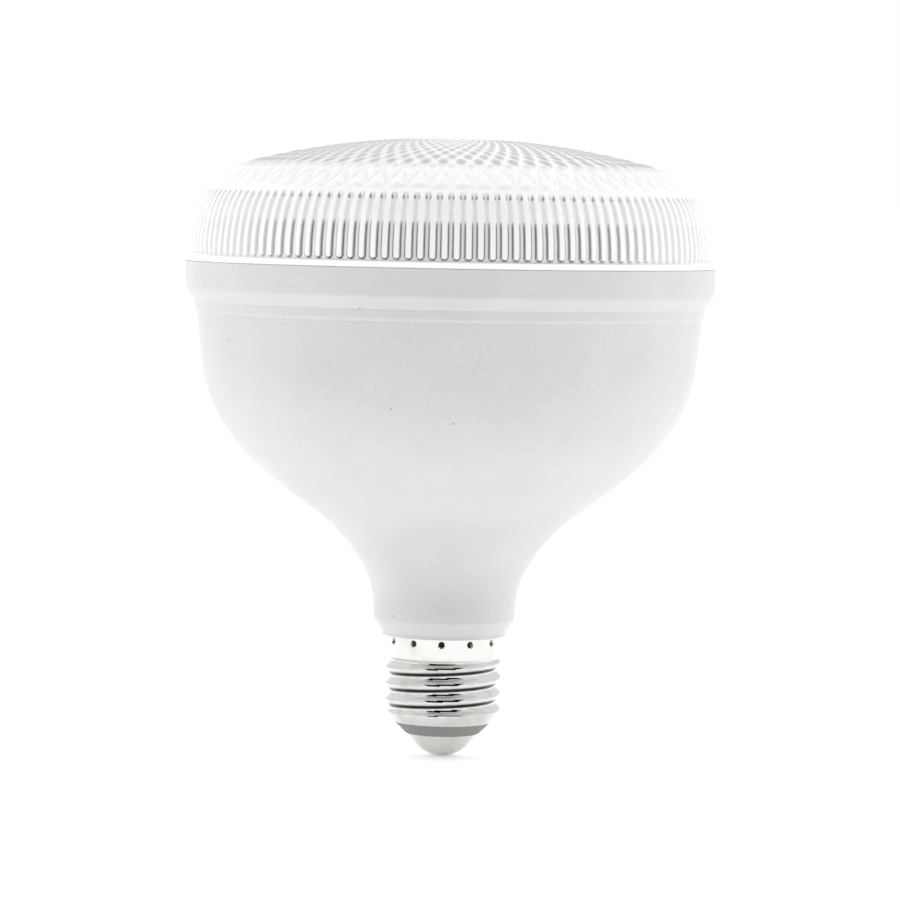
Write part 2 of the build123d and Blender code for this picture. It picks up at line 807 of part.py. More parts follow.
def capacitor_can(place, radius, length):
    """Rolled can with a crimp groove near its base."""
    with BuildSketch(front_plane(seat_gap)) as base:
        with Locations(place):
            Circle(radius)
    extrude(base.sketch, amount=length)
    axis = Axis((place[0], 0, board_bottom + place[1]), (0, -1, 0))
    fillet(edges().filter_by(GeomType.CIRCLE).sort_by(Axis.Y)[0], crimp_groove_depth)
    with BuildSketch(Plane((place[0], 0, board_bottom + place[1]))) as groove:
        with Locations((radius, board_front - seat_gap - crimp_groove_height)):
            Circle(crimp_groove_depth)
    revolve(groove.sketch, axis=axis, mode=Mode.SUBTRACT)


with BuildPart() as bulk_capacitor:
    capacitor_can(bulk_capacitor_place, bulk_capacitor_radius, bulk_capacitor_length)
    add_leads("bulk_capacitor")
bulk_capacitor.part.label = "bulk_capacitor"
export_step(bulk_capacitor.part, "parts/bulk_capacitor.step")

with BuildPart() as output_capacitor:
    capacitor_can(output_capacitor_place, output_capacitor_radius, output_capacitor_length)
    add_leads("output_capacitor")
output_capacitor.part.label = "output_capacitor"
export_step(output_capacitor.part, "parts/output_capacitor.step")

# Transformer: two E cores joined round a bobbin, which stands on the board by its flanges
core_centre = seat_gap + bobbin_depth / 2
with BuildPart() as transformer_core:
    with BuildSketch(front_plane(core_centre)):
        with Locations(transformer_place):
            Rectangle(core_width, core_length)
            with Locations(*pair((0, 0), core_leg + core_window_width)):
                Rectangle(core_window_width, core_window_length, mode=Mode.SUBTRACT)
    extrude(amount=core_depth / 2, both=True)
transformer_core.part.label = "transformer_core"
export_step(transformer_core.part, "parts/transformer_core.step")

tube_inner = core_leg + 2 * fit_gap
tube_outer = tube_inner + 2 * bobbin_wall
bobbin_length = core_window_length - 2 * fit_gap
transformer_plane = Plane(
    (transformer_place[0], board_front - core_centre, board_bottom + transformer_place[1])
)
with BuildPart() as transformer_bobbin:
    with BuildSketch(transformer_plane):
        Rectangle(tube_outer, tube_outer)
    extrude(amount=bobbin_length / 2, both=True)
    for side in (-1, 1):
        with BuildSketch(transformer_plane.offset(side * bobbin_length / 2)):
            Rectangle(bobbin_width, bobbin_depth)
        extrude(amount=-side * bobbin_flange)
    with BuildSketch(transformer_plane):
        Rectangle(tube_inner, core_depth + 2 * fit_gap)
    extrude(amount=bobbin_length / 2, both=True, mode=Mode.SUBTRACT)
    add_leads("transformer_bobbin")
transformer_bobbin.part.label = "transformer_bobbin"
export_step(transformer_bobbin.part, "parts/transformer_bobbin.step")

winding_length = bobbin_length - 2 * bobbin_flange - 2 * seat_gap
with BuildPart() as transformer_winding:
    with BuildSketch(transformer_plane):
        RectangleRounded(
            tube_outer + 2 * winding_depth,
            tube_outer + 2 * winding_depth,
            winding_corner_radius,
        )
        Rectangle(tube_outer + 2 * seat_gap, tube_outer + 2 * seat_gap, mode=Mode.SUBTRACT)
    extrude(amount=winding_length / 2, both=True)
transformer_winding.part.label = "transformer_winding"
export_step(transformer_winding.part, "parts/transformer_winding.step")

with BuildPart() as film_capacitor:
    with BuildSketch(front_plane(seat_gap)):
        with Locations(film_capacitor_place):
            Rectangle(film_capacitor_size[0], film_capacitor_size[1])
    extrude(amount=film_capacitor_size[2])
    fillet(film_capacitor.edges().filter_by(Axis.Y), film_capacitor_edge_radius)
    add_leads("film_capacitor")
film_capacitor.part.label = "film_capacitor"
export_step(film_capacitor.part, "parts/film_capacitor.step")

with BuildPart() as varistor:
    disc_centre = board_front - varistor_stand_off - varistor_radius
    disc_plane = Plane((varistor_place[0], disc_centre, board_bottom + varistor_place[1]))
    with BuildSketch(disc_plane):
        Circle(varistor_radius)
    extrude(amount=varistor_thickness / 2, both=True)
    fillet(varistor.edges().filter_by(GeomType.CIRCLE), varistor_edge_radius)
    add_leads("varistor", varistor_stand_off + varistor_radius / 2)
varistor.part.label = "varistor"
export_step(varistor.part, "parts/varistor.step")

with BuildPart() as fuse_resistor:
    fuse_reach = fuse_stand_off + fuse_radius
    fuse_height = board_bottom + fuse_place[1]
    with BuildSketch(Plane((fuse_place[0], board_front - fuse_reach, fuse_height), z_dir=(1, 0, 0))):
        Circle(fuse_radius)
    extrude(amount=fuse_length / 2, both=True)
    fillet(fuse_resistor.edges().filter_by(GeomType.CIRCLE), fuse_edge_radius)
    for x, height in lead_places["fuse_resistor"]:
        with BuildLine():
            lead = FilletPolyline(
                (fuse_place[0], board_front - fuse_reach, board_bottom + height),
                (x, board_front - fuse_reach, board_bottom + height),
                (x, board_back + lead_reach, board_bottom + height),
                radius=lead_bend,
            )
        with BuildSketch(Plane(lead @ 0, z_dir=lead % 0)):
            Circle(lead_radius)
        sweep()
fuse_resistor.part.label = "fuse_resistor"
export_step(fuse_resistor.part, "parts/fuse_resistor.step")

with BuildPart() as bridge_rectifier:
    with BuildSketch(front_plane(seat_gap)):
        with Locations(bridge_place):
            Rectangle(bridge_size[0], bridge_size[1])
    extrude(amount=bridge_size[2])
    chamfer(bridge_rectifier.edges().group_by(Axis.Y)[0].sort_by(Axis.X)[0], bridge_chamfer)
    add_leads("bridge_rectifier")
bridge_rectifier.part.label = "bridge_rectifier"
export_step(bridge_rectifier.part, "parts/bridge_rectifier.step")


def surface_package(place, size, legs, leg_size):
    """Moulded block on the board's back, with flat legs that stand out from under its sides."""
    width, length, height = size
    leg_width, leg_length, leg_height = leg_size
    with BuildSketch(back_plane(place, leg_height / 4)) as block:
        Rectangle(width, length)
    extrude(block.sketch, amount=height - leg_height / 4, taper=package_draft)
    with BuildSketch(back_plane(place)) as feet:
        with Locations(*legs):
            Rectangle(leg_width, leg_length)
    extrude(feet.sketch, amount=leg_height)


ic_row = ic_size[1] / 2 + ic_leg_size[1] * leg_reach_share
ic_legs = [
    (ic_leg_pitch * (column - 1.5), side * ic_row) for column in range(4) for side in (-1, 1)
]
with BuildPart() as driver_ic:
    surface_package(ic_place, ic_size, ic_legs, ic_leg_size)
driver_ic.part.label = "driver_ic"
export_step(driver_ic.part, "parts/driver_ic.step")

transistor_row = transistor_size[1] / 2 + transistor_leg_size[1] * leg_reach_share
transistor_legs = [(side * transistor_leg_pitch / 2, transistor_row) for side in (-1, 1)]
with BuildPart() as power_transistor:
    surface_package(transistor_place, transistor_size, transistor_legs, transistor_leg_size)
    with BuildSketch(back_plane(transistor_place)):
        with Locations((0, -transistor_size[1] / 2)):
            Rectangle(transistor_tab_size[0], 2 * transistor_tab_size[1])
    extrude(amount=transistor_tab_size[2])
power_transistor.part.label = "power_transistor"
export_step(power_transistor.part, "parts/power_transistor.step")

diode_terminals = [(side * diode_size[0] / 2, 0) for side in (-1, 1)]
with BuildPart() as output_diode:
    surface_package(diode_place, diode_size, diode_terminals, diode_terminal_size)
output_diode.part.label = "output_diode"
export_step(output_diode.part, "parts/output_diode.step")

with BuildPart() as chip_resistors:
    with BuildSketch(back_plane(chip_place)):
        with GridLocations(chip_pitch[0], chip_pitch[1], 2, 3):
            Rectangle(chip_size[0], chip_size[1])
    extrude(amount=chip_size[2])
chip_resistors.part.label = "chip_resistors"
export_step(chip_resistors.part, "parts/chip_resistors.step")


def wire(route):
    """Round insulated wire along straight runs and bends."""
    with BuildLine() as path:
        FilletPolyline(*route, radius=wire_bend)
    with BuildSketch(Plane(path.line @ 0, z_dir=path.line % 0)) as section:
        Circle(wire_radius)
    sweep(section.sketch, path=path.line)


pad_height = board_bottom + mains_wire_place[1]
pad_front = board_front - seat_gap
wire_front = pad_front - 2 * wire_bend
with BuildPart() as live_wire:
    live_pad = mains_wire_pads[1][0]
    wire(
        [
            (live_pad, pad_front, pad_height),
            (live_pad, wire_front, pad_height),
            (live_pad, wire_front, spigot_bottom + 2 * wire_bend),
            (0, 0, insulator_top + wire_bend),
            (0, 0, contact_wall + seat_gap),
        ]
    )
live_wire.part.label = "live_wire"
export_step(live_wire.part, "parts/live_wire.step")

slot_radius = spigot_lower_radius - wire_radius
turn_height = (insulator_top + spigot_bottom) / 2
with BuildPart() as neutral_wire:
    neutral_pad = mains_wire_pads[0][0]
    wire(
        [
            (neutral_pad, pad_front, pad_height),
            (neutral_pad, wire_front, pad_height),
            (neutral_pad, wire_front, turn_height),
            (-slot_radius, 0, turn_height),
            (-slot_radius, 0, spigot_bottom + wire_slot_length - wire_bend),
        ]
    )
neutral_wire.part.label = "neutral_wire"
export_step(neutral_wire.part, "parts/neutral_wire.step")

output_height = board_bottom + output_wire_place[1]
with BuildPart() as output_wire_positive:
    output_pad = output_wire_pads[1][0]
    wire(
        [
            (output_pad, pad_front, output_height),
            (output_pad, wire_front, output_height),
            (output_pad, pad_front, output_height + 4 * wire_bend),
            (output_pad, pad_front, led_board_top + 2 * wire_bend),
            (output_pad_radius, pad_front, led_board_top + 2 * wire_bend),
            (output_pad_radius, pad_front, led_board_top + seat_gap),
        ]
    )
output_wire_positive.part.label = "output_wire_positive"
export_step(output_wire_positive.part, "parts/output_wire_positive.step")

with BuildPart() as output_wire_negative:
    mirror(output_wire_positive.part, about=Plane.YZ)
output_wire_negative.part.label = "output_wire_negative"
export_step(output_wire_negative.part, "parts/output_wire_negative.step")
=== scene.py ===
"""LED torch bulb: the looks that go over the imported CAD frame.

Sizes are millimetres, scaled to metres.
"""

import math

import bpy
from mathutils import Euler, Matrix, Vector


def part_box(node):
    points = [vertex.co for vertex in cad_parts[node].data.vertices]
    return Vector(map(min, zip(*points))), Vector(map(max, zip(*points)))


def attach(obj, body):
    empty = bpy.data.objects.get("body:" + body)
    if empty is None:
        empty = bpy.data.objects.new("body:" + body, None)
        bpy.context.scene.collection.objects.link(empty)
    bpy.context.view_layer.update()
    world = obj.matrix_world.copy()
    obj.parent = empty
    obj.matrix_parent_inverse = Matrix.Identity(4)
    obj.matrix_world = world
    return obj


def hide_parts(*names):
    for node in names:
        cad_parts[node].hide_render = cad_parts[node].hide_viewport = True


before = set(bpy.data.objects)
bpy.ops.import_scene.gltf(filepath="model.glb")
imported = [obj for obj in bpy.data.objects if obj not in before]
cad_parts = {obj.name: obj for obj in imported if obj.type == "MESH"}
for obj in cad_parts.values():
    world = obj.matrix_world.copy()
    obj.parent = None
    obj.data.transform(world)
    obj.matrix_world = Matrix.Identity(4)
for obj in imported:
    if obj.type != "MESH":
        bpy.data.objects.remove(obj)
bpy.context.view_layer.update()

bl_info = {
    "name": "LED Torch Bulb",
    "version": (1, 0, 0),
    "blender": (4, 5, 0),
    "location": "View3D > Sidebar > Torch Bulb",
    "description": "Dresses a prismatic LED torch bulb with its finishes, its lens and a studio",
    "category": "Object",
}

MM = 0.001
FULL_TURN = 2 * math.pi


def from_hex(hex_colour):
    """sRGB channels of a hex colour, 0 to 1, as a colour property takes them."""
    return tuple(int(hex_colour[i : i + 2], 16) / 255 for i in (1, 3, 5))


def to_hex(colour):
    """sRGB hex colour of a colour property."""
    return "#" + "".join(f"{round(c * 255):02x}" for c in colour[:3])


def linear(hex_colour):
    """Scene-linear RGBA of an sRGB hex colour."""
    channels = from_hex(hex_colour)
    return [c / 12.92 if c <= 0.04045 else ((c + 0.055) / 1.055) ** 2.4 for c in channels] + [1.0]


def add_node(tree, kind, inputs=None, **settings):
    """Adds a node with its settings; an input is given a value or the socket that feeds it."""
    node = tree.nodes.new(kind)
    for name, value in settings.items():
        setattr(node, name, value)
    for key, value in (inputs or {}).items():
        if isinstance(value, bpy.types.NodeSocket):
            tree.links.new(value, node.inputs[key])
        else:
            node.inputs[key].default_value = value
    return node


def start_material(name):
    """Empty node material, with its tree and object coordinates in metres."""
    made = bpy.data.materials.new(name)
    made.use_nodes = True
    made.node_tree.nodes.clear()
    place = add_node(made.node_tree, "ShaderNodeTexCoord").outputs["Object"]
    return made, made.node_tree, place


def end_material(made, shader):
    """Joins the finished shader to the material's output."""
    add_node(made.node_tree, "ShaderNodeOutputMaterial", {"Surface": shader})
    return made


# real grain and draw marks are under 0.1 mm, too fine to show, so each finish draws them coarser
CLOUD_SPACING = 14 * MM
ROUGHNESS_SWING = 0.06
# a speck's reach as a share of its cell, the share of cells that have one, and how much it tints
SPECK_REACH, SPECK_CHANCE, SPECK_TINT, SPECK_COLOUR = 0.035, 0.45, 0.5, "#5c5954"


def moulded(
    name, colour, roughness, grain_mm, relief_mm, ior=1.5, spread=0.06, specks=0.0, coat=0.0
):
    """Moulded or dipped plastic: a spark-eroded grain, a slight cloudiness and rare dark specks."""
    made, tree, place = start_material(name)
    grain = add_node(
        tree,
        "ShaderNodeTexNoise",
        {"Vector": place, "Scale": 1 / (grain_mm * MM), "Detail": 3.0, "Roughness": 0.6},
    ).outputs["Fac"]
    cloud = add_node(
        tree, "ShaderNodeTexNoise", {"Vector": place, "Scale": 1 / CLOUD_SPACING, "Detail": 2.0}
    ).outputs["Fac"]
    tone = add_node(tree, "ShaderNodeMath", {0: grain, 1: cloud}, operation="ADD").outputs[0]
    paleness = add_node(
        tree, "ShaderNodeMapRange", {"Value": tone, "From Min": 0.7, "From Max": 1.3}
    ).outputs[0]
    base = linear(colour)[:3]
    dark = [c * (1 - spread) for c in base] + [1.0]
    light = [min(1.0, c * (1 + spread / 2)) for c in base] + [1.0]
    shade = add_node(
        tree, "ShaderNodeMix", {"Factor": paleness, 6: dark, 7: light}, data_type="RGBA"
    ).outputs[2]
    if specks:
        dots = add_node(
            tree,
            "ShaderNodeTexVoronoi",
            {"Vector": place, "Scale": 1 / (specks * MM), "Randomness": 1.0},
        ).outputs
        draw = add_node(tree, "ShaderNodeSeparateColor", {0: dots["Color"]}).outputs[0]
        near = add_node(
            tree, "ShaderNodeMath", {0: dots["Distance"], 1: SPECK_REACH}, operation="LESS_THAN"
        ).outputs[0]
        rare = add_node(
            tree, "ShaderNodeMath", {0: draw, 1: SPECK_CHANCE}, operation="LESS_THAN"
        ).outputs[0]
        spot = near
        for factor in (rare, SPECK_TINT):
            spot = add_node(
                tree, "ShaderNodeMath", {0: spot, 1: factor}, operation="MULTIPLY"
            ).outputs[0]
        shade = add_node(
            tree,
            "ShaderNodeMix",
            {"Factor": spot, 6: shade, 7: linear(SPECK_COLOUR)},
            data_type="RGBA",
        ).outputs[2]
    rough = add_node(
        tree,
        "ShaderNodeMapRange",
        {
            "Value": grain,
            "From Min": 0.3,
            "From Max": 0.7,
            "To Min": roughness - ROUGHNESS_SWING,
            "To Max": roughness + ROUGHNESS_SWING,
        },
    ).outputs[0]
    bump = add_node(
        tree, "ShaderNodeBump", {"Height": grain, "Distance": relief_mm * MM, "Strength": 1.0}
    ).outputs[0]
    shader = add_node(
        tree,
        "ShaderNodeBsdfPrincipled",
        {
            "Base Color": shade,
            "Roughness": rough,
            "IOR": ior,
            "Normal": bump,
            "Coat Weight": coat,
            "Coat Roughness": 0.1,
        },
    ).outputs[0]
    return end_material(made, shader)


# the last colour darkens the punch marks and paints a reflection under the shell's crests
STAIN_SPACING, STAIN_COLOUR, DENT_AND_REFLECTION_COLOUR = 5 * MM, "#8f8a80", "#1d2224"
# scales of the draw marks' pattern, which is stretched round the axis
MARK_STRETCH = (0.12, 0.12, 1.0)


def metal(name, colour, roughness, scratch_mm, relief_mm, stain_share=0.15, dark_dents_and_painted_reflection=None):
    """Metal or plated metal: fine draw marks round the axis, faint stains, and darker where a
    stored share says.
    """
    made, tree, place = start_material(name)
    rings = add_node(
        tree, "ShaderNodeMapping", {"Vector": place, "Scale": MARK_STRETCH}
    ).outputs[0]
    marks = add_node(
        tree,
        "ShaderNodeTexNoise",
        {"Vector": rings, "Scale": 1 / (scratch_mm * MM), "Detail": 3.0, "Roughness": 0.6},
    ).outputs["Fac"]
    cloud = add_node(
        tree, "ShaderNodeTexNoise", {"Vector": place, "Scale": 1 / STAIN_SPACING, "Detail": 4.0}
    ).outputs["Fac"]
    dull = add_node(
        tree,
        "ShaderNodeMapRange",
        {"Value": cloud, "From Min": 0.5, "From Max": 0.75, "To Min": 0.0, "To Max": stain_share},
    ).outputs[0]
    layers = [(dull, STAIN_COLOUR)]
    # a stored dark share: on the shell, darker punch marks and a painted reflection under the
    # crests
    if dark_dents_and_painted_reflection:
        dark_share = add_node(tree, "ShaderNodeAttribute", attribute_name=dark_dents_and_painted_reflection).outputs["Fac"]
        layers.append((dark_share, DENT_AND_REFLECTION_COLOUR))
    shade = linear(colour)
    for share, layer in layers:
        shade = add_node(
            tree, "ShaderNodeMix", {"Factor": share, 6: shade, 7: linear(layer)}, data_type="RGBA"
        ).outputs[2]
    rough = add_node(
        tree,
        "ShaderNodeMapRange",
        {
            "Value": cloud,
            "From Min": 0.3,
            "From Max": 0.8,
            "To Min": roughness * 0.7,
            "To Max": roughness * 1.5,
        },
    ).outputs[0]
    bump = add_node(
        tree, "ShaderNodeBump", {"Height": marks, "Distance": relief_mm * MM, "Strength": 1.0}
    ).outputs[0]
    shader = add_node(
        tree,
        "ShaderNodeBsdfPrincipled",
        {"Base Color": shade, "Metallic": 1.0, "Roughness": rough, "Normal": bump},
    ).outputs[0]
    return end_material(made, shader)


HAZE_SPACING = 9 * MM
FROSTED, CLEARNESS, MILKY_CLEARNESS = 0.5, 0.1, 0.03
# painted shade: the grey of the dome's cells and the dark lines on the ribs' flanks
LENS_COLOUR, CELL_SHADE_COLOUR, LINE_SHADE_COLOUR = "#ffffff", "#95999b", "#232e34"


def clear_polycarbonate():
    """Injection-moulded polycarbonate: polished outside, frosted inside, milky at the lip.

    Its prisms scatter the white of the board behind them, so the eye sees a pale body and nothing
    through it, and the body is drawn nearly opaque. Dark slate lines on the steep flanks of its
    ribs and grey cells on its dome are painted, in place of the light that the prisms throw aside.
    """
    made, tree, place = start_material("clear_moulded_polycarbonate")
    haze = add_node(
        tree, "ShaderNodeTexNoise", {"Vector": place, "Scale": 1 / HAZE_SPACING, "Detail": 2.0}
    ).outputs["Fac"]
    polished = add_node(
        tree,
        "ShaderNodeMapRange",
        {"Value": haze, "From Min": 0.3, "From Max": 0.7, "To Min": 0.05, "To Max": 0.1},
    ).outputs[0]
    frost, milk, flank_painted_shade, cell_painted_shade = (
        add_node(tree, "ShaderNodeAttribute", attribute_name="lens_" + name).outputs["Fac"]
        for name in LENS_STORED
    )
    rough = add_node(
        tree, "ShaderNodeMix", {0: frost, 2: polished, 3: FROSTED}, data_type="FLOAT"
    ).outputs[0]
    clear = add_node(
        tree,
        "ShaderNodeMapRange",
        {
            "Value": milk,
            "From Min": 0.0,
            "From Max": 1.0,
            "To Min": CLEARNESS,
            "To Max": MILKY_CLEARNESS,
        },
    ).outputs[0]
    # painted for the photograph's side: lines are dark in front and behind, and faint at the sides
    depth = add_node(tree, "ShaderNodeSeparateXYZ", {0: place}).outputs["Y"]
    depth = add_node(tree, "ShaderNodeMath", {0: depth}, operation="ABSOLUTE").outputs[0]
    square = add_node(
        tree,
        "ShaderNodeMapRange",
        {"Value": depth, "From Min": 36 * MM, "From Max": 54 * MM, "To Min": 0.12, "To Max": 0.95},
        interpolation_type="SMOOTHSTEP",
    ).outputs[0]
    line = add_node(
        tree, "ShaderNodeMath", {0: flank_painted_shade, 1: square}, operation="MULTIPLY"
    ).outputs[0]
    cell = add_node(
        tree,
        "ShaderNodeMapRange",
        {"Value": cell_painted_shade, "From Min": 0.12, "From Max": 0.8, "To Min": 0.0, "To Max": 0.72},
        interpolation_type="SMOOTHSTEP",
    ).outputs[0]
    shade = linear(LENS_COLOUR)
    # painted shade: grey cells on the dome, then dark lines on the ribs' flanks
    for share, colour in ((cell, CELL_SHADE_COLOUR), (line, LINE_SHADE_COLOUR)):
        shade = add_node(
            tree, "ShaderNodeMix", {0: share, 6: shade, 7: linear(colour)}, data_type="RGBA"
        ).outputs[2]
    shader = add_node(
        tree,
        "ShaderNodeBsdfPrincipled",
        {"Base Color": shade, "Roughness": rough, "IOR": 1.585, "Transmission Weight": clear},
    ).outputs[0]
    return end_material(made, shader)


def dress(node_name, material):
    """Gives a CAD node its finish, in its own slots."""
    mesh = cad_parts[node_name].data
    if not mesh.materials:
        mesh.materials.append(material)
    for index in range(len(mesh.materials)):
        mesh.materials[index] = material


def colour_property(label, hex_colour, words):
    """Colour setting with an sRGB default."""
    return bpy.props.FloatVectorProperty(
        name=label,
        description=words,
        subtype="COLOR_GAMMA",
        size=3,
        min=0.0,
        max=1.0,
        default=from_hex(hex_colour),
    )


def length_property(label, size, words):
    """Length setting with its default in metres."""
    return bpy.props.FloatProperty(name=label, description=words, default=size, unit="LENGTH")


def angle_property(label, degrees, words):
    """Angle setting with its default in degrees."""
    return bpy.props.FloatProperty(
        name=label, description=words, default=math.radians(degrees), subtype="ANGLE"
    )


def amount_property(label, amount, words, **limits):
    """Plain number setting."""
    return bpy.props.FloatProperty(name=label, description=words, default=amount, **limits)


class BulbFinish(bpy.types.PropertyGroup):
    """Colours of the pieces that show."""

    housing: colour_property("Housing", "#cdcdcd", "Moulded housing")
    cap: colour_property("Cap", "#d6d5d3", "Nickel plating of the cap and the contact")
    insulator: colour_property("Insulator", "#81817f", "Moulded insulator of the cap")


class BulbShell(bpy.types.PropertyGroup):
    """Sizes of the rolled screw shell."""

    pitch: length_property("Thread pitch", 3.629 * MM, "Climb of the thread in one turn")
    crest_radius: length_property("Crest radius", 13.15 * MM, "Radius over the crests")
    root_radius: length_property("Root radius", 12.1 * MM, "Radius in the roots")
    crest_height: length_property("Crest height", 12.6 * MM, "Height of a crest behind the axis")
    sheet: length_property("Sheet", 0.35 * MM, "Thickness of the sheet")
    punches: bpy.props.IntProperty(
        name="Punch marks", description="Number of punch marks", default=12, min=1
    )
    punch_start: angle_property("Punch start", -92, "Angle of the first punch mark")
    punch_height: length_property("Punch height", 26.4 * MM, "Height of the punch marks")
    punch_radius: length_property("Punch radius", 0.85 * MM, "Radius of a punch mark")
    punch_tip: length_property("Punch tip", 0.25 * MM, "Radius of a punch mark's floor")
    punch_depth: length_property("Punch depth", 0.7 * MM, "Depth of a punch mark")


class BulbStage(bpy.types.PropertyGroup):
    """Camera and studio."""

    distance: length_property("Distance", 0.95, "Camera to the bulb's axis")
    eye_height: length_property("Eye height", 0.127, "Camera above the floor")
    focal: amount_property("Focal length", 168.3, "Camera focal length in millimetres")
    pitch: angle_property("Pitch", 3.468, "Camera tilt down")
    roll: angle_property("Roll", 1.05, "Camera roll")
    aside: length_property("Aside", 0.00065, "Camera to the right of the bulb's axis")
    front: amount_property("Front", 0.04, "Brightness of the studio's front")
    back: amount_property("Back", 1.2, "Brightness of the studio's back")
    sides: amount_property("Sides", 1.72, "Brightness of the studio's sides")
    roof: amount_property("Roof", 0.62, "Share of the brightness overhead")
    top_light: amount_property("Top light", 2.6, "Power of the soft light above")
    floor_glow: amount_property("Floor glow", 0.27, "Light that the floor adds from below")


class BulbLens(bpy.types.PropertyGroup):
    """Sizes of the prismatic lens."""

    rib_share: amount_property("Rib share", 0.6, "Rib's share of one pitch", min=0.2, max=0.9)
    rib_depth: length_property("Rib depth", 0.7 * MM, "Depth of the grooves between ribs")
    rib_edge: length_property("Rib edge", 0.55 * MM, "Width of a groove's rounded flank")
    relief: amount_property(
        "Diamond relief", 0.012, "Height of a diamond as a share of its radius"
    )
    crispness: amount_property(
        "Diamond crispness", 0.7, "Low for flat tops and steep sides", min=0.2, max=2.0
    )
    wall: length_property("Wall", 1.9 * MM, "Wall of the lens")


SOCKET_KINDS = {
    int: "NodeSocketInt",
    float: "NodeSocketFloat",
    bpy.types.Material: "NodeSocketMaterial",
}
MERGE_REACH = 0.002 * MM
SOFT_ANGLE = math.radians(50)

GRID_STEPS = (
    # row and column of a grid point
    ("points_across", "ADD", "Columns", 1.0),
    ("last_row", "SUBTRACT", "rows", 1.0),
    ("row_share", "ADD", "y", 0.5),
    ("row_place", "MULTIPLY", "row_share", "last_row"),
    ("row", "ROUND", "row_place"),
    ("column_share", "ADD", "x", 0.5),
    ("column_place", "MULTIPLY", "column_share", "Columns"),
    ("column", "ROUND", "column_place"),
)


def swept_tree(name, copies, inputs, row_data, steps, stored):
    """Geometry Nodes: a grid over a section's rows, turned round the axis in copies and closed.

    Each step is (value's name, operation, terms), and a term is a number, an input or an earlier
    value. The steps end in point_x, point_y and z of a point and in the turn of a copy.
    """
    tree = bpy.data.node_groups.new(name, "GeometryNodeTree")
    tree.interface.new_socket("Geometry", in_out="INPUT", socket_type="NodeSocketGeometry")
    for socket, value in inputs.items():
        kind = SOCKET_KINDS[type(value)]
        tree.interface.new_socket(socket, in_out="INPUT", socket_type=kind)
    tree.interface.new_socket("Geometry", in_out="OUTPUT", socket_type="NodeSocketGeometry")
    given = add_node(tree, "NodeGroupInput").outputs
    section = given["Geometry"]
    values = {socket.name: socket for socket in given if socket.name}
    size = add_node(tree, "GeometryNodeAttributeDomainSize", {"Geometry": section})
    values["rows"] = size.outputs["Point Count"]
    values["number"] = add_node(tree, "GeometryNodeInputIndex").outputs[0]
    place = add_node(tree, "GeometryNodeInputPosition").outputs[0]
    values["x"], values["y"], _ = add_node(tree, "ShaderNodeSeparateXYZ", {0: place}).outputs
    row_steps = [(row_value, "ROW_VALUE") for row_value in row_data]
    for step, operation, *terms in (*GRID_STEPS, *row_steps, *steps):
        terms = [values.get(term, term) for term in terms]
        if operation == "ROW_VALUE":
            kept = add_node(
                tree, "GeometryNodeInputNamedAttribute", {"Name": step}, data_type="FLOAT"
            ).outputs["Attribute"]
            node = add_node(
                tree,
                "GeometryNodeSampleIndex",
                {"Geometry": section, "Value": kept, "Index": values["row"]},
                data_type="FLOAT",
                domain="POINT",
            )
        elif operation == "SMOOTH_STEP":
            band = dict(zip(("Value", "From Min", "From Max"), terms))
            node = add_node(tree, "ShaderNodeMapRange", band, interpolation_type="SMOOTHSTEP")
        else:
            node = add_node(tree, "ShaderNodeMath", dict(enumerate(terms)), operation=operation)
        values[step] = node.outputs[0]
    grid = add_node(
        tree,
        "GeometryNodeMeshGrid",
        {
            "Size X": 1.0,
            "Size Y": 1.0,
            "Vertices X": values["points_across"],
            "Vertices Y": values["rows"],
        },
    ).outputs["Mesh"]
    for attribute, step in stored:
        grid = add_node(
            tree,
            "GeometryNodeStoreNamedAttribute",
            {"Geometry": grid, "Name": attribute, "Value": values[step]},
            data_type="FLOAT",
            domain="POINT",
        ).outputs[0]
    point = add_node(
        tree, "ShaderNodeCombineXYZ", {0: values["point_x"], 1: values["point_y"], 2: values["z"]}
    ).outputs[0]
    turn = add_node(tree, "ShaderNodeCombineXYZ", {2: values["turn"]}).outputs[0]
    wedge = add_node(
        tree, "GeometryNodeSetPosition", {"Geometry": grid, "Position": point}
    ).outputs[0]
    ring = add_node(tree, "GeometryNodePoints", {"Count": given[copies]}).outputs[0]
    placed = add_node(
        tree, "GeometryNodeInstanceOnPoints", {"Points": ring, "Instance": wedge, "Rotation": turn}
    ).outputs[0]
    real = add_node(tree, "GeometryNodeRealizeInstances", {"Geometry": placed}).outputs[0]
    closed = add_node(
        tree, "GeometryNodeMergeByDistance", {"Geometry": real, "Distance": MERGE_REACH}
    ).outputs[0]
    bend = add_node(tree, "GeometryNodeInputMeshEdgeAngle").outputs["Unsigned Angle"]
    soft = add_node(
        tree, "ShaderNodeMath", {0: bend, 1: SOFT_ANGLE}, operation="LESS_THAN"
    ).outputs[0]
    smooth = add_node(
        tree,
        "GeometryNodeSetShadeSmooth",
        {"Geometry": closed, "Shade Smooth": soft},
        domain="EDGE",
    ).outputs[0]
    finished = add_node(
        tree, "GeometryNodeSetMaterial", {"Geometry": smooth, "Material": given["Material"]}
    ).outputs[0]
    add_node(tree, "NodeGroupOutput", {"Geometry": finished})
    return tree


DIAMONDS = 72
RIBS_PER_DIAMOND = 2
RIB_FOOT = 0.45 * MM
GROOVE_TOP_GAP = 0.2 * MM
# points across one diamond, and how far those on ribbed rows are drawn to the grooves
COLUMNS = 16
COLUMN_DRAW = 0.373
# each row of diamonds has this share of the radius of the row outside it
DIAMOND_ROWS = 14
DIAMOND_ROW_RATIO = 0.9
ROWS_PER_DIAMOND = 4
FLANK_ROWS = 36
INNER_FLANK_ROWS = 6
FAINT_LINE = 0.12
# a row's place, its outward direction, and what the steps read at it
ROW_DATA = (
    "radius",
    "height",
    "out_radius",
    "out_height",
    "run",
    "ribbed",
    "spiral",
    "diamonded",
    "snap",
    "frost",
    "milk",
    "low_ribs",
)


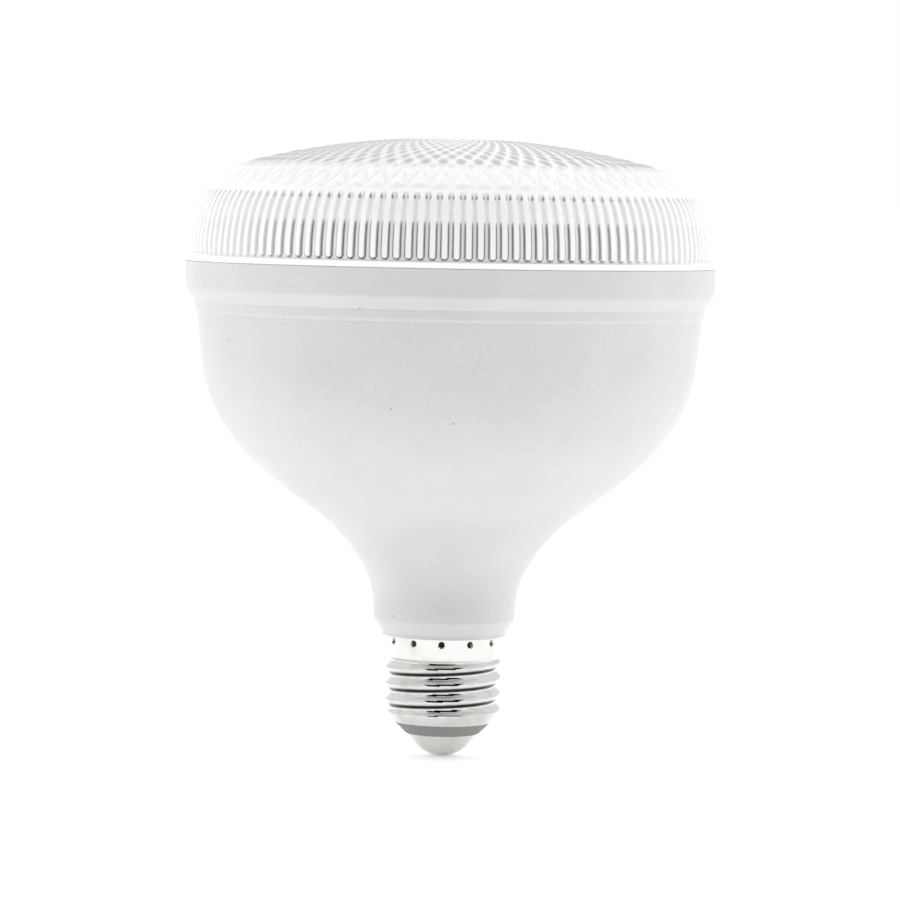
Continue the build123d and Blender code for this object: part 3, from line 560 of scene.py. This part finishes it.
def lens_rows(sizes):
    """Section of the lens from its inner pole round to its outer pole, and the ribs' run.

    All is in metres, and each row holds what ROW_DATA names. Snap is how many points of a full
    row are drawn to one, so that fewer are left where the lens is plain or narrow.
    """
    low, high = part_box("lens_cover")
    apex, bottom, collar = high.z, low.z, high.x
    collar_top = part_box("housing")[1].z
    lip_bottom, lip_top, lip_edge = collar_top + 0.02 * MM, collar_top + 1.5 * MM, 0.35 * MM
    lip_bevel = 0.3 * lip_edge
    plug, plug_wall = collar - 1.9 * MM, 1.4 * MM
    rib_radius, rib_top, rib_end = 59.2 * MM, collar_top + 15.5 * MM, 0.6 * MM
    lip_inside = rib_radius - sizes.rib_depth + 0.2 * MM
    bulge_depth, bulge_height = 5.85 * MM, 15.1 * MM
    dome_radius, dome_edge, border_width = 170 * MM, 44 * MM, 2.3 * MM
    low_zone, low_fade = collar_top + 10.2 * MM, 0.7 * MM
    foot = lip_top + rib_end
    end = math.asin((rib_top - foot) / bulge_height)

    def flank(turn, inset=0.0):
        """Ribbed side: turn 0 is its foot, and its end is the ribs' top."""
        across, along = math.cos(turn) / bulge_depth, math.sin(turn) / bulge_height
        across, along = across / math.hypot(across, along), along / math.hypot(across, along)
        radius = rib_radius - bulge_depth * (1 - math.cos(turn)) - inset * across
        return radius, foot + bulge_height * math.sin(turn) - inset * along, across, along

    top_radius = flank(end)[0]
    slope = math.asin(dome_edge / dome_radius)
    dome_centre = apex - dome_radius
    edge_height = dome_centre + dome_radius * math.cos(slope)
    run, drop = top_radius - dome_edge, edge_height - rib_top
    edge_radius = (run**2 + drop**2) / (2 * (drop * math.cos(slope) - run * math.sin(slope)))
    edge_centre = dome_edge - edge_radius * math.sin(slope)
    edge_centre_height = edge_height - edge_radius * math.cos(slope)

    def dome(radius, inset=0.0):
        """Crown, and its rounded edge down to the ribs."""
        centre, centre_height, bend = 0.0, dome_centre, dome_radius
        if radius > dome_edge:
            centre, centre_height, bend = edge_centre, edge_centre_height, edge_radius
        across = (radius - centre) / bend
        along = math.sqrt(1 - across**2)
        return radius - inset * across, centre_height + (bend - inset) * along, across, along

    rows = []

    def add_row(place, **marks):
        """Row at a place with its outward direction; marks that aren't given are 0."""
        rows.append((*place, *(marks.get(mark, 0) for mark in ROW_DATA[len(place) :])))

    for radius, snap in ((0, 16), (8, 16), (16, 8), (24, 8), (32, 4), (40, 4), (46, 4), (50, 4)):
        add_row(dome(radius * MM, sizes.wall), snap=snap, frost=1)
    for step in range(INNER_FLANK_ROWS, -1, -1):
        add_row(flank(end * step / INNER_FLANK_ROWS, sizes.wall), snap=4, frost=1)
    for radius, height in (
        (plug - plug_wall, lip_top),
        (plug - plug_wall, bottom),
        (plug, bottom),
        (plug, lip_bottom),
        (collar - lip_edge, lip_bottom),
        (collar, lip_bottom + lip_edge),
        (collar, lip_top - lip_edge),
    ):
        add_row((radius, height, 1, 0), snap=4, frost=1, milk=1)
    add_row((collar - lip_bevel, lip_top - lip_bevel, 1, 0), snap=2, milk=1)
    add_row((collar - lip_edge, lip_top, 1, 0), snap=2, milk=1)
    add_row((lip_inside, lip_top, 1, 0), snap=1, milk=1)
    # rows are closer at the foot and the top of the ribs, where their rounded ends are
    rib_run, foot_share, crowding = 0.0, 0.04, 0.8
    for step in range(FLANK_ROWS + 1):
        share = step / FLANK_ROWS
        share -= crowding * math.sin(FULL_TURN * share) / FULL_TURN
        if share < foot_share:
            point = (rib_radius, lip_top + rib_end * share / foot_share, 1.0, 0.0)
        else:
            point = flank(end * (share - foot_share) / (1 - foot_share))
        if step:
            rib_run += math.hypot(point[0] - rows[-1][0], point[1] - rows[-1][1])
        low_ribs = min(1.0, max(FAINT_LINE, (low_zone - point[1]) / low_fade))
        add_row(point, run=rib_run, ribbed=1, snap=1, low_ribs=low_ribs)
    border = top_radius - border_width
    for share in (1 / 3, 2 / 3):
        add_row(dome(top_radius - border_width * share), snap=2)
    for step in range(ROWS_PER_DIAMOND * DIAMOND_ROWS + 1):
        spiral = step / ROWS_PER_DIAMOND
        add_row(dome(border * DIAMOND_ROW_RATIO**spiral), spiral=spiral, diamonded=1, snap=2)
    for radius, snap in ((8, 4), (4, 8), (0, 16)):
        add_row(dome(radius * MM), snap=snap)
    return rows, rib_run


# frost and milkiness of the lens, and where painted shade falls on the ribs' flanks and the dome's
# cells
LENS_STORED = ("frost", "milk", "flank_painted_shade", "cell_painted_shade")

# keeps a whole number from being rounded down to the one below it
NUDGE = 0.001
GROOVE_CAP_FADE = 0.2 * MM

LENS_STEPS = (
    # angle, with columns drawn together where fewer are needed
    ("group", "DIVIDE", "column", "snap"),
    ("group_up", "ADD", "group", NUDGE),
    ("group_whole", "FLOOR", "group_up"),
    ("group_column", "MULTIPLY", "group_whole", "snap"),
    ("group_share", "DIVIDE", "group_column", "Columns"),
    ("even_share", "SUBTRACT", "group_share", 0.5),
    # ribbed rows: columns are drawn towards the grooves' flanks
    ("even_turn", "MULTIPLY", "even_share", "Ribs per diamond"),
    ("groove_turn", "ROUND", "even_turn"),
    ("even_off", "SUBTRACT", "even_turn", "groove_turn"),
    ("even_off_2", "MULTIPLY", "even_off", "even_off"),
    ("draw", "MULTIPLY_ADD", "even_off_2", 4 * COLUMN_DRAW, -COLUMN_DRAW),
    ("draw_ribbed", "MULTIPLY", "draw", "ribbed"),
    ("off_turn", "MULTIPLY_ADD", "even_off", "draw_ribbed", "even_off"),
    ("rib_turn", "ADD", "groove_turn", "off_turn"),
    ("share", "DIVIDE", "rib_turn", "Ribs per diamond"),
    ("pitch", "DIVIDE", FULL_TURN, "Diamonds"),
    ("angle", "MULTIPLY", "share", "pitch"),
    # distances from the nearest groove's and rib's centre lines, with rounded ends
    ("off_groove", "ABSOLUTE", "off_turn"),
    ("rib_angle", "DIVIDE", "pitch", "Ribs per diamond"),
    ("rib_pitch", "MULTIPLY", "rib_angle", "radius"),
    ("from_groove", "MULTIPLY", "off_groove", "rib_pitch"),
    ("half_pitch", "MULTIPLY", "rib_pitch", 0.5),
    ("from_rib", "SUBTRACT", "half_pitch", "from_groove"),
    ("rib_half", "MULTIPLY", "half_pitch", "Rib share"),
    ("groove_half", "SUBTRACT", "half_pitch", "rib_half"),
    ("rib_end", "ADD", "Rib foot", "rib_half"),
    ("short_of_rib", "SUBTRACT", "rib_end", "run"),
    ("below", "MAXIMUM", "short_of_rib", 0.0),
    ("groove_end", "SUBTRACT", "Groove top", "groove_half"),
    ("past_groove", "SUBTRACT", "run", "groove_end"),
    ("above", "MAXIMUM", "past_groove", 0.0),
    ("from_rib_2", "MULTIPLY", "from_rib", "from_rib"),
    ("rib_sum", "MULTIPLY_ADD", "below", "below", "from_rib_2"),
    ("rib_distance", "SQRT", "rib_sum"),
    ("from_groove_2", "MULTIPLY", "from_groove", "from_groove"),
    ("groove_sum", "MULTIPLY_ADD", "above", "above", "from_groove_2"),
    ("groove_distance", "SQRT", "groove_sum"),
    # levels across the rounded flanks: 1 on a rib, 0 in a groove
    ("soft", "MULTIPLY", "Rib edge", 0.5),
    ("rib_in", "SUBTRACT", "rib_half", "soft"),
    ("rib_out", "ADD", "rib_half", "soft"),
    ("groove_in", "SUBTRACT", "groove_half", "soft"),
    ("groove_out", "ADD", "groove_half", "soft"),
    ("off_rib_level", "SMOOTH_STEP", "rib_distance", "rib_in", "rib_out"),
    ("rib_level", "SUBTRACT", 1.0, "off_rib_level"),
    ("groove_level", "SMOOTH_STEP", "groove_distance", "groove_in", "groove_out"),
    ("level", "MINIMUM", "rib_level", "groove_level"),
    ("sunk", "SUBTRACT", 1.0, "level"),
    # painted shade: dark lines low on the flanks, down the lower ribs and round the grooves' tops
    ("flank_low", "SMOOTH_STEP", "level", 0.0, 0.15),
    ("flank_high", "SMOOTH_STEP", "sunk", 0.08, 0.4),
    ("flank_line", "MULTIPLY", "flank_low", "flank_high"),
    ("groove_cap", "SMOOTH_STEP", "past_groove", 0.0, GROOVE_CAP_FADE),
    ("line_depth", "MAXIMUM", "groove_cap", "low_ribs"),
    ("flank_painted_shade", "MULTIPLY", "flank_line", "line_depth"),
    ("sunk_deep", "MULTIPLY", "sunk", "Rib depth"),
    ("sunk_ribs", "MULTIPLY", "sunk_deep", "ribbed"),
    # diamonds between two mirrored families of spirals, down to half diamonds at the border
    ("half_spiral", "MULTIPLY", "spiral", 0.5),
    ("left", "ADD", "half_spiral", "share"),
    ("right", "SUBTRACT", "half_spiral", "share"),
    ("left_angle", "MULTIPLY", "left", math.pi),
    ("right_angle", "MULTIPLY", "right", math.pi),
    ("left_wave", "SINE", "left_angle"),
    ("right_wave", "SINE", "right_angle"),
    ("wave", "MULTIPLY", "left_wave", "right_wave"),
    ("hill", "ABSOLUTE", "wave"),
    ("pillow", "POWER", "hill", "Diamond crispness"),
    ("left_up", "ADD", "left", NUDGE),
    ("right_up", "ADD", "right", NUDGE),
    ("left_whole", "FLOOR", "left_up"),
    ("right_whole", "FLOOR", "right_up"),
    ("cell", "ADD", "left_whole", "right_whole"),
    ("inside", "GREATER_THAN", "cell", -1.5),
    ("pillow_inside", "MULTIPLY", "pillow", "inside"),
    ("pillow_rows", "MULTIPLY", "pillow_inside", "diamonded"),
    # painted shade: grey of the cells, which fades in over the outer rows
    ("inner_rows", "SMOOTH_STEP", "spiral", 0.4, 1.9),
    ("cell_painted_shade", "MULTIPLY", "pillow_rows", "inner_rows"),
    ("relief", "MULTIPLY", "pillow_rows", "Diamond relief"),
    ("raised", "MULTIPLY", "relief", "radius"),
    # place of the point
    ("lift", "SUBTRACT", "raised", "sunk_ribs"),
    ("far", "MULTIPLY_ADD", "lift", "out_radius", "radius"),
    ("z", "MULTIPLY_ADD", "lift", "out_height", "height"),
    ("cosine", "COSINE", "angle"),
    ("sine", "SINE", "angle"),
    ("point_x", "MULTIPLY", "far", "cosine"),
    ("point_y", "MULTIPLY", "far", "sine"),
    ("turn", "MULTIPLY", "number", "pitch"),
)


SHELL_ROW_DATA = ("height", "inset", "plain", "threaded", "dented")
SHELL_COLUMNS = 360
INSIDE_ROW_STEP, OUTSIDE_ROW_STEP = 0.3 * MM, 0.18 * MM


def shell_rows(sizes):
    """Section of the screw shell, down its inside and up its outside, closed at the rim, in metres.

    Each row is (height, inset, plain radius, threaded, dented).
    """
    low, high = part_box("cap_shell")
    skirt_radius, skirt_height = 12.8 * MM, 4.7 * MM
    cone_radius, cone_height, bottom_radius = 12.6 * MM, 1.8 * MM, 11.15 * MM
    skirt_bottom, thread_bottom = high.z - skirt_height, low.z + cone_height
    edge, fade = 0.1 * MM, 1.0 * MM

    def side(inset, step):
        """Rows of one side of the sheet from the rim to the bottom."""
        rows = []
        height = high.z - edge
        while height > low.z + edge:
            if height > skirt_bottom:
                rows.append((height, inset, skirt_radius, 0, 1))
            elif height > thread_bottom:
                upper, lower = (skirt_bottom - height) / fade, (height - thread_bottom) / fade
                near = min(1.0, upper, lower)
                plain = skirt_radius if upper < lower else cone_radius
                rows.append((height, inset, plain, near * near * (3 - 2 * near), 0))
            else:
                share = (thread_bottom - height) / cone_height
                radius = cone_radius + (bottom_radius - cone_radius) * share
                rows.append((height, inset, radius, 0, 0))
            height -= step
        return rows

    rim = [(high.z, sizes.sheet, skirt_radius, 0, 0), (high.z, edge, skirt_radius, 0, 0)]
    foot = [(low.z, sizes.sheet, bottom_radius, 0, 0), (low.z, edge, bottom_radius, 0, 0)]
    inside, outside = side(sizes.sheet, INSIDE_ROW_STEP), side(0, OUTSIDE_ROW_STEP)
    return rim[:1] + inside + foot + outside[::-1] + rim[::-1]


SHELL_STEPS = (
    # rolled thread: its crest climbs one pitch in a turn
    ("share", "DIVIDE", "column", "Columns"),
    ("angle", "MULTIPLY", "share", FULL_TURN),
    ("climb", "SUBTRACT", "share", 0.5),
    ("crest", "MULTIPLY_ADD", "climb", "Pitch", "Crest height"),
    ("off_crest", "SUBTRACT", "height", "crest"),
    ("off_turns", "DIVIDE", "off_crest", "Pitch"),
    ("wave_angle", "MULTIPLY", "off_turns", FULL_TURN),
    ("wave", "COSINE", "wave_angle"),
    ("thread_radius", "MULTIPLY_ADD", "wave", "Thread swing", "Thread middle"),
    ("thread_rise", "SUBTRACT", "thread_radius", "plain"),
    ("skin", "MULTIPLY_ADD", "thread_rise", "threaded", "plain"),
    # painted reflection: dark on the flank under a crest, for the dark bars seen there
    ("under_angle", "ADD", "wave_angle", 0.6 * math.pi),
    ("under_wave", "COSINE", "under_angle"),
    ("under_full", "SMOOTH_STEP", "under_wave", 0.55, 0.95),
    ("under_crest", "MULTIPLY", "under_full", "threaded"),
    # punch marks
    ("from_start", "SUBTRACT", "share", "Punch start"),
    ("punch_place", "MULTIPLY", "from_start", "Punches"),
    ("punch_whole", "ROUND", "punch_place"),
    ("punch_off", "SUBTRACT", "punch_place", "punch_whole"),
    ("punch_share", "DIVIDE", "punch_off", "Punches"),
    ("punch_angle", "MULTIPLY", "punch_share", FULL_TURN),
    ("punch_across", "MULTIPLY", "punch_angle", "plain"),
    ("punch_up", "SUBTRACT", "height", "Punch height"),
    ("punch_up_2", "MULTIPLY", "punch_up", "punch_up"),
    ("punch_sum", "MULTIPLY_ADD", "punch_across", "punch_across", "punch_up_2"),
    ("punch_distance", "SQRT", "punch_sum"),
    ("off_punch", "SMOOTH_STEP", "punch_distance", "Punch tip", "Punch radius"),
    ("on_punch", "SUBTRACT", 1.0, "off_punch"),
    ("punched", "MULTIPLY", "on_punch", "dented"),
    ("punch_deep", "MULTIPLY", "punched", "Punch depth"),
    # darker in the punch marks, and the painted reflection under the crests
    ("dark_dents_and_painted_reflection", "MAXIMUM", "punched", "under_crest"),
    # place of the point
    ("drawn_in", "ADD", "punch_deep", "inset"),
    ("far", "SUBTRACT", "skin", "drawn_in"),
    ("z", "ADD", "height", 0.0),
    ("cosine", "COSINE", "angle"),
    ("sine", "SINE", "angle"),
    ("point_x", "MULTIPLY", "far", "cosine"),
    ("point_y", "MULTIPLY", "far", "sine"),
    ("turn", "MULTIPLY", "number", FULL_TURN),
)


def made_by_nodes(name, start, tree, inputs):
    """Runs a Geometry Nodes tree over a start mesh and returns the plain mesh object it makes."""
    piece = bpy.data.objects.new(name, start)
    bpy.context.scene.collection.objects.link(piece)
    modifier = piece.modifiers.new("shape", "NODES")
    modifier.node_group = tree
    for socket in tree.interface.items_tree:
        if socket.in_out == "INPUT" and socket.name in inputs:
            modifier[socket.identifier] = inputs[socket.name]
    graph = bpy.context.evaluated_depsgraph_get()
    made = bpy.data.meshes.new_from_object(piece.evaluated_get(graph), depsgraph=graph)
    if not made.polygons:
        raise RuntimeError(f"{name} came out empty")
    piece.modifiers.clear()
    piece.data = made
    made.name = name
    return piece


def section_mesh(name, rows, row_data, place):
    """Chain of points, one for each row, with the row's values as attributes."""
    section = bpy.data.meshes.new(name)
    edges = [(index, index + 1) for index in range(len(rows) - 1)]
    section.from_pydata([place(row) for row in rows], edges, [])
    for index, key in enumerate(row_data):
        column = section.attributes.new(key, "FLOAT", "POINT").data
        column.foreach_set("value", [row[index] for row in rows])
    return section


def place_piece(piece, slot, *nodes):
    """Hangs a finished piece on the bulb, in place of these CAD nodes."""
    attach(piece, "root")
    if nodes:
        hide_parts(*nodes)


class BULB_OT_lens(bpy.types.Operator):
    """Prismatic lens"""

    bl_idname = "bulb.lens"
    bl_label = "Lens"

    def execute(self, context):
        sizes = context.scene.bulb_lens
        clear = clear_polycarbonate()
        rows, rib_run = lens_rows(sizes)
        section = section_mesh("lens_section", rows, ROW_DATA, lambda row: (row[0], 0, row[1]))
        stored = [("lens_" + step, step) for step in LENS_STORED]
        inputs = {
            "Diamonds": DIAMONDS,
            "Ribs per diamond": RIBS_PER_DIAMOND,
            "Rib share": sizes.rib_share,
            "Rib depth": sizes.rib_depth,
            "Rib edge": sizes.rib_edge,
            "Rib foot": RIB_FOOT,
            "Groove top": rib_run - GROOVE_TOP_GAP,
            "Diamond relief": sizes.relief,
            "Diamond crispness": sizes.crispness,
            "Columns": COLUMNS,
            "Material": clear,
        }
        tree = swept_tree("prismatic_lens", "Diamonds", inputs, ROW_DATA, LENS_STEPS, stored)
        lens = made_by_nodes("lens_cover_prismatic", section, tree, inputs)
        dress("lens_cover", clear)
        place_piece(lens, "lens_clear", "lens_cover")
        return {"FINISHED"}


class BULB_OT_housing(bpy.types.Operator):
    """White moulded housing"""

    bl_idname = "bulb.housing"
    bl_label = "Housing"

    def execute(self, context):
        # PBT from a spark-eroded mould: an even matte white, a fine grain and a few dark specks
        colour = to_hex(context.scene.bulb_finish.housing)
        finish = moulded(
            "matte_moulded_pbt", colour, 0.55, 0.5, 0.07, ior=1.55, spread=0.05, specks=7.0
        )
        dress("housing", finish)
        return {"FINISHED"}


class BULB_OT_cap(bpy.types.Operator):
    """Screw shell, insulator and centre contact"""

    bl_idname = "bulb.cap"
    bl_label = "Screw cap"

    def execute(self, context):
        finish = context.scene.bulb_finish
        sizes = context.scene.bulb_shell
        colour = to_hex(finish.cap)
        # nickel over rolled brass: mirror-bright, with fine draw marks, a painted reflection under
        # the crests and darker punch marks
        nickel = metal(
            "nickel_plated_brass", colour, 0.06, 0.15, 0.0003, stain_share=0.3, dark_dents_and_painted_reflection="shell_dark_dents_and_painted_reflection"
        )
        rows = shell_rows(sizes)
        section = section_mesh(
            "shell_section", rows, SHELL_ROW_DATA, lambda row: (row[2], 0, row[0])
        )
        inputs = {
            "Copies": 1,
            "Columns": SHELL_COLUMNS,
            "Pitch": sizes.pitch,
            "Crest height": sizes.crest_height,
            "Thread middle": (sizes.crest_radius + sizes.root_radius) / 2,
            "Thread swing": (sizes.crest_radius - sizes.root_radius) / 2,
            "Punches": sizes.punches,
            "Punch start": sizes.punch_start / FULL_TURN,
            "Punch height": sizes.punch_height,
            "Punch radius": sizes.punch_radius,
            "Punch tip": sizes.punch_tip,
            "Punch depth": sizes.punch_depth,
            "Material": nickel,
        }
        # darker punch marks and the painted reflection under the crests
        stored = [("shell_dark_dents_and_painted_reflection", "dark_dents_and_painted_reflection")]
        tree = swept_tree("rolled_shell", "Copies", inputs, SHELL_ROW_DATA, SHELL_STEPS, stored)
        shell = made_by_nodes("cap_shell_rolled", section, tree, inputs)
        dress("cap_shell", nickel)
        place_piece(shell, "cap_nickel", "cap_shell")
        # nickel over a pressed brass dish: satin, with fine marks
        dress("centre_contact", metal("nickel_plated_contact", colour, 0.22, 0.1, 0.002))
        # grey glass-filled phenolic: dull, with a coarse grain
        grey = to_hex(finish.insulator)
        dress("cap_insulator", moulded("glass_filled_phenolic", grey, 0.6, 0.3, 0.02))
        return {"FINISHED"}


class BULB_OT_light_engine(bpy.types.Operator):
    """Aluminium cup, LED board, LEDs and screws"""

    bl_idname = "bulb.light_engine"
    bl_label = "Light engine"

    def execute(self, context):
        # deep-drawn aluminium: soft grey gleam with rings from the drawing
        dress("heat_sink_cup", metal("deep_drawn_aluminium", "#c8cbd0", 0.35, 0.3, 0.006))
        # white solder mask on an aluminium core: even, with a low sheen
        dress("led_board", moulded("white_solder_mask", "#ecebe6", 0.35, 0.2, 0.002, coat=0.2))
        # moulded white frames: plain satin white
        dress("led_packages", moulded("white_led_frame", "#f0efe9", 0.4, 0.1, 0.002))
        # phosphor in cast silicone: a wet-looking deep yellow
        phosphor = moulded("phosphor_in_silicone", "#f0cf52", 0.25, 0.08, 0.002, ior=1.41)
        dress("led_phosphors", phosphor)
        # zinc-plated steel: cool grey, a little brighter than the cup
        dress("board_screws", metal("zinc_plated_steel", "#b9bcc0", 0.28, 0.1, 0.003))
        return {"FINISHED"}


DRIVER_FINISHES = (
    # nodes, material, colour, roughness, grain and relief in millimetres, share of clear coat
    # solder mask over glass epoxy: deep green under a clear gloss
    (("driver_board",), "green_solder_mask", "#1f5a2c", 0.35, 0.25, 0.003, 0.3),
    # shrunk PVC sleeve: black and smooth, with soft highlights
    (
        ("bulk_capacitor", "output_capacitor"),
        "shrunk_pvc_sleeve",
        "#17181c",
        0.3,
        0.4,
        0.004,
        0.0,
    ),
    # ground ferrite: dull charcoal with a gritty face
    (("transformer_core",), "ground_ferrite", "#26272a", 0.55, 0.15, 0.006, 0.0),
    # wrapped polyester tape: glossy amber yellow
    (("transformer_winding",), "polyester_tape", "#d8b22e", 0.22, 0.6, 0.004, 0.4),
    # moulded PBT box: plain satin yellow
    (("film_capacitor",), "pbt_box", "#d9b640", 0.35, 0.3, 0.003, 0.0),
    # dipped epoxy: blue, slightly uneven like a thick paint
    (("varistor",), "dipped_epoxy", "#2450a0", 0.4, 0.5, 0.01, 0.0),
    # dipped silicone coating: chalky green
    (("fuse_resistor",), "silicone_coating", "#5c8f74", 0.5, 0.4, 0.01, 0.0),
    # transfer-moulded epoxy: matte black with a fine spark grain
    (
        (
            "transformer_bobbin",
            "bridge_rectifier",
            "driver_ic",
            "power_transistor",
            "output_diode",
            "chip_resistors",
        ),
        "epoxy_moulding_compound",
        "#16161a",
        0.55,
        0.15,
        0.004,
        0.0,
    ),
)


class BULB_OT_driver(bpy.types.Operator):
    """Driver board and its components"""

    bl_idname = "bulb.driver"
    bl_label = "Driver"

    def execute(self, context):
        for nodes, *finish, coat in DRIVER_FINISHES:
            material = moulded(*finish, coat=coat)
            for node_name in nodes:
                dress(node_name, material)
        return {"FINISHED"}


class BULB_OT_wires(bpy.types.Operator):
    """Insulated wires"""

    bl_idname = "bulb.wires"
    bl_label = "Wires"

    def execute(self, context):
        # extruded silicone rubber: even colours with a soft, dull sheen
        for name, colour in (
            ("live_wire", "#5a3218"),
            ("neutral_wire", "#2a56a8"),
            ("output_wire_positive", "#b22a22"),
            ("output_wire_negative", "#1c1c1e"),
        ):
            rubber = moulded("silicone_insulation_" + name, colour, 0.45, 0.2, 0.003, ior=1.41)
            dress(name, rubber)
        return {"FINISHED"}


# the soft light hangs above and a little towards the camera, in metres
TOP_LIGHT_SIDE, TOP_LIGHT_PLACE = 1.6, (0, -0.2, 2.0)
SENSOR_WIDTH = 36
CLIP_NEAR, CLIP_FAR = 0.01, 100


class BULB_OT_stage(bpy.types.Operator):
    """Floor, soft lights and camera"""

    bl_idname = "bulb.stage"
    bl_label = "Stage"

    def execute(self, context):
        scene = context.scene
        stage = scene.bulb_stage
        add_floor(stage.floor_glow)
        add_world(scene)
        lamp = bpy.data.lights.new("top_soft_light", "AREA")
        lamp.size = TOP_LIGHT_SIDE
        lamp.energy = stage.top_light
        holder = bpy.data.objects.new("top_soft_light", lamp)
        holder.location = TOP_LIGHT_PLACE
        scene.collection.objects.link(holder)
        view = bpy.data.cameras.new("camera")
        view.sensor_width = SENSOR_WIDTH
        view.lens = stage.focal
        view.clip_start = CLIP_NEAR
        view.clip_end = CLIP_FAR
        camera = bpy.data.objects.new("camera", view)
        scene.collection.objects.link(camera)
        camera.location = (stage.aside, -stage.distance, stage.eye_height)
        level = Euler((math.pi / 2 - stage.pitch, 0, 0)).to_matrix()
        turn = Euler((0, 0, stage.roll)).to_matrix()
        camera.rotation_euler = (level @ turn).to_euler()
        scene.camera = camera
        scene.view_settings.view_transform = "Standard"
        scene.cycles.max_bounces = 16
        scene.cycles.transmission_bounces = 14
        scene.cycles.glossy_bounces = 6
        return {"FINISHED"}


FLOOR_REACH = 80.0


def add_floor(glow):
    """Pale floor under the bulb, wide enough to hide its edge."""
    reach = FLOOR_REACH
    corners = [(-reach, -reach, 0), (reach, -reach, 0), (reach, reach, 0), (-reach, reach, 0)]
    mesh = bpy.data.meshes.new("floor")
    mesh.from_pydata(corners, [], [(0, 1, 2, 3)])
    floor = bpy.data.objects.new("floor", mesh)
    bpy.context.scene.collection.objects.link(floor)
    # matte studio paper that glows a little: no gloss, and no edge against the backdrop
    made, tree, _ = start_material("pale_studio_floor")
    shader = add_node(
        tree,
        "ShaderNodeBsdfPrincipled",
        {
            "Base Color": linear("#f7f7f7"),
            "Roughness": 1.0,
            "Specular IOR Level": 0.0,
            "Emission Color": (1, 1, 1, 1),
            "Emission Strength": glow,
        },
    ).outputs[0]
    mesh.materials.append(end_material(made, shader))


def add_world(scene):
    """Soft studio: white to the camera, and round the bulb bright at the sides and darker in front.

    A direction's Y is -1 towards the camera and 1 behind the bulb, and its Z is 1 overhead.
    """
    world = bpy.data.worlds.new("studio")
    scene.world = world
    world.use_nodes = True
    tree = world.node_tree
    tree.nodes.clear()
    stage = scene.bulb_stage
    facing = add_node(tree, "ShaderNodeTexCoord").outputs["Generated"]
    across, depth, height = add_node(tree, "ShaderNodeSeparateXYZ", {0: facing}).outputs
    aside = add_node(tree, "ShaderNodeMath", {0: across}, operation="ABSOLUTE").outputs[0]
    zones = {}
    for zone, place, start, end, low, high, blend in (
        ("front", depth, -0.95, -0.3, stage.front, stage.sides, "SMOOTHSTEP"),
        ("back", depth, 0.1, 0.8, 1.0, stage.back, "SMOOTHSTEP"),
        ("roof", height, 0.3, 1.0, 1.0, stage.roof, "LINEAR"),
        # the photographer's dark place, which only mirrors show
        ("gap_depth", depth, -0.45, -0.4, 1.0, 0.0, "LINEAR"),
        ("gap_width", aside, 0.5, 0.55, 1.0, 0.0, "LINEAR"),
    ):
        zones[zone] = add_node(
            tree,
            "ShaderNodeMapRange",
            {"Value": place, "From Min": start, "From Max": end, "To Min": low, "To Max": high},
            interpolation_type=blend,
        ).outputs[0]
    tent = zones["front"]
    for part in ("back", "roof"):
        tent = add_node(
            tree, "ShaderNodeMath", {0: tent, 1: zones[part]}, operation="MULTIPLY"
        ).outputs[0]
    gap = add_node(
        tree,
        "ShaderNodeMath",
        {0: zones["gap_depth"], 1: zones["gap_width"]},
        operation="MULTIPLY",
    ).outputs[0]
    mirror = add_node(tree, "ShaderNodeMath", {0: 1.0, 1: gap}, operation="SUBTRACT").outputs[0]
    path = add_node(tree, "ShaderNodeLightPath").outputs
    strength = tent
    for ray, seen in (("Is Glossy Ray", mirror), ("Is Camera Ray", 1.0)):
        strength = add_node(
            tree, "ShaderNodeMix", {0: path[ray], 2: strength, 3: seen}, data_type="FLOAT"
        ).outputs[0]
    shader = add_node(
        tree, "ShaderNodeBackground", {"Color": (1, 1, 1, 1), "Strength": strength}
    ).outputs[0]
    add_node(tree, "ShaderNodeOutputWorld", {"Surface": shader})


class BULB_PT_panel(bpy.types.Panel):
    """Sidebar panel with the bulb's pieces"""

    bl_idname = "BULB_PT_panel"
    bl_label = "LED Torch Bulb"
    bl_space_type = "VIEW_3D"
    bl_region_type = "UI"
    bl_category = "Torch Bulb"

    def draw(self, context):
        scene = context.scene
        for group in (scene.bulb_lens, scene.bulb_shell, scene.bulb_finish, scene.bulb_stage):
            for name in group.__annotations__:
                self.layout.prop(group, name)
        for operator in OPERATORS:
            self.layout.operator(operator.bl_idname)


OPERATORS = (
    BULB_OT_lens,
    BULB_OT_housing,
    BULB_OT_cap,
    BULB_OT_light_engine,
    BULB_OT_driver,
    BULB_OT_wires,
    BULB_OT_stage,
)
CLASSES = (BulbLens, BulbShell, BulbFinish, BulbStage) + OPERATORS + (BULB_PT_panel,)


def register():
    for entry in CLASSES:
        bpy.utils.register_class(entry)
    bpy.types.Scene.bulb_lens = bpy.props.PointerProperty(type=BulbLens)
    bpy.types.Scene.bulb_shell = bpy.props.PointerProperty(type=BulbShell)
    bpy.types.Scene.bulb_finish = bpy.props.PointerProperty(type=BulbFinish)
    bpy.types.Scene.bulb_stage = bpy.props.PointerProperty(type=BulbStage)


def unregister():
    del bpy.types.Scene.bulb_stage
    del bpy.types.Scene.bulb_finish
    del bpy.types.Scene.bulb_shell
    del bpy.types.Scene.bulb_lens
    for entry in reversed(CLASSES):
        bpy.utils.unregister_class(entry)


def main():
    """Builds the bulb's looks and its studio."""
    register()
    bpy.ops.bulb.lens()
    bpy.ops.bulb.housing()
    bpy.ops.bulb.cap()
    bpy.ops.bulb.light_engine()
    bpy.ops.bulb.driver()
    bpy.ops.bulb.wires()
    bpy.ops.bulb.stage()


if __name__ == "__main__":
    main()
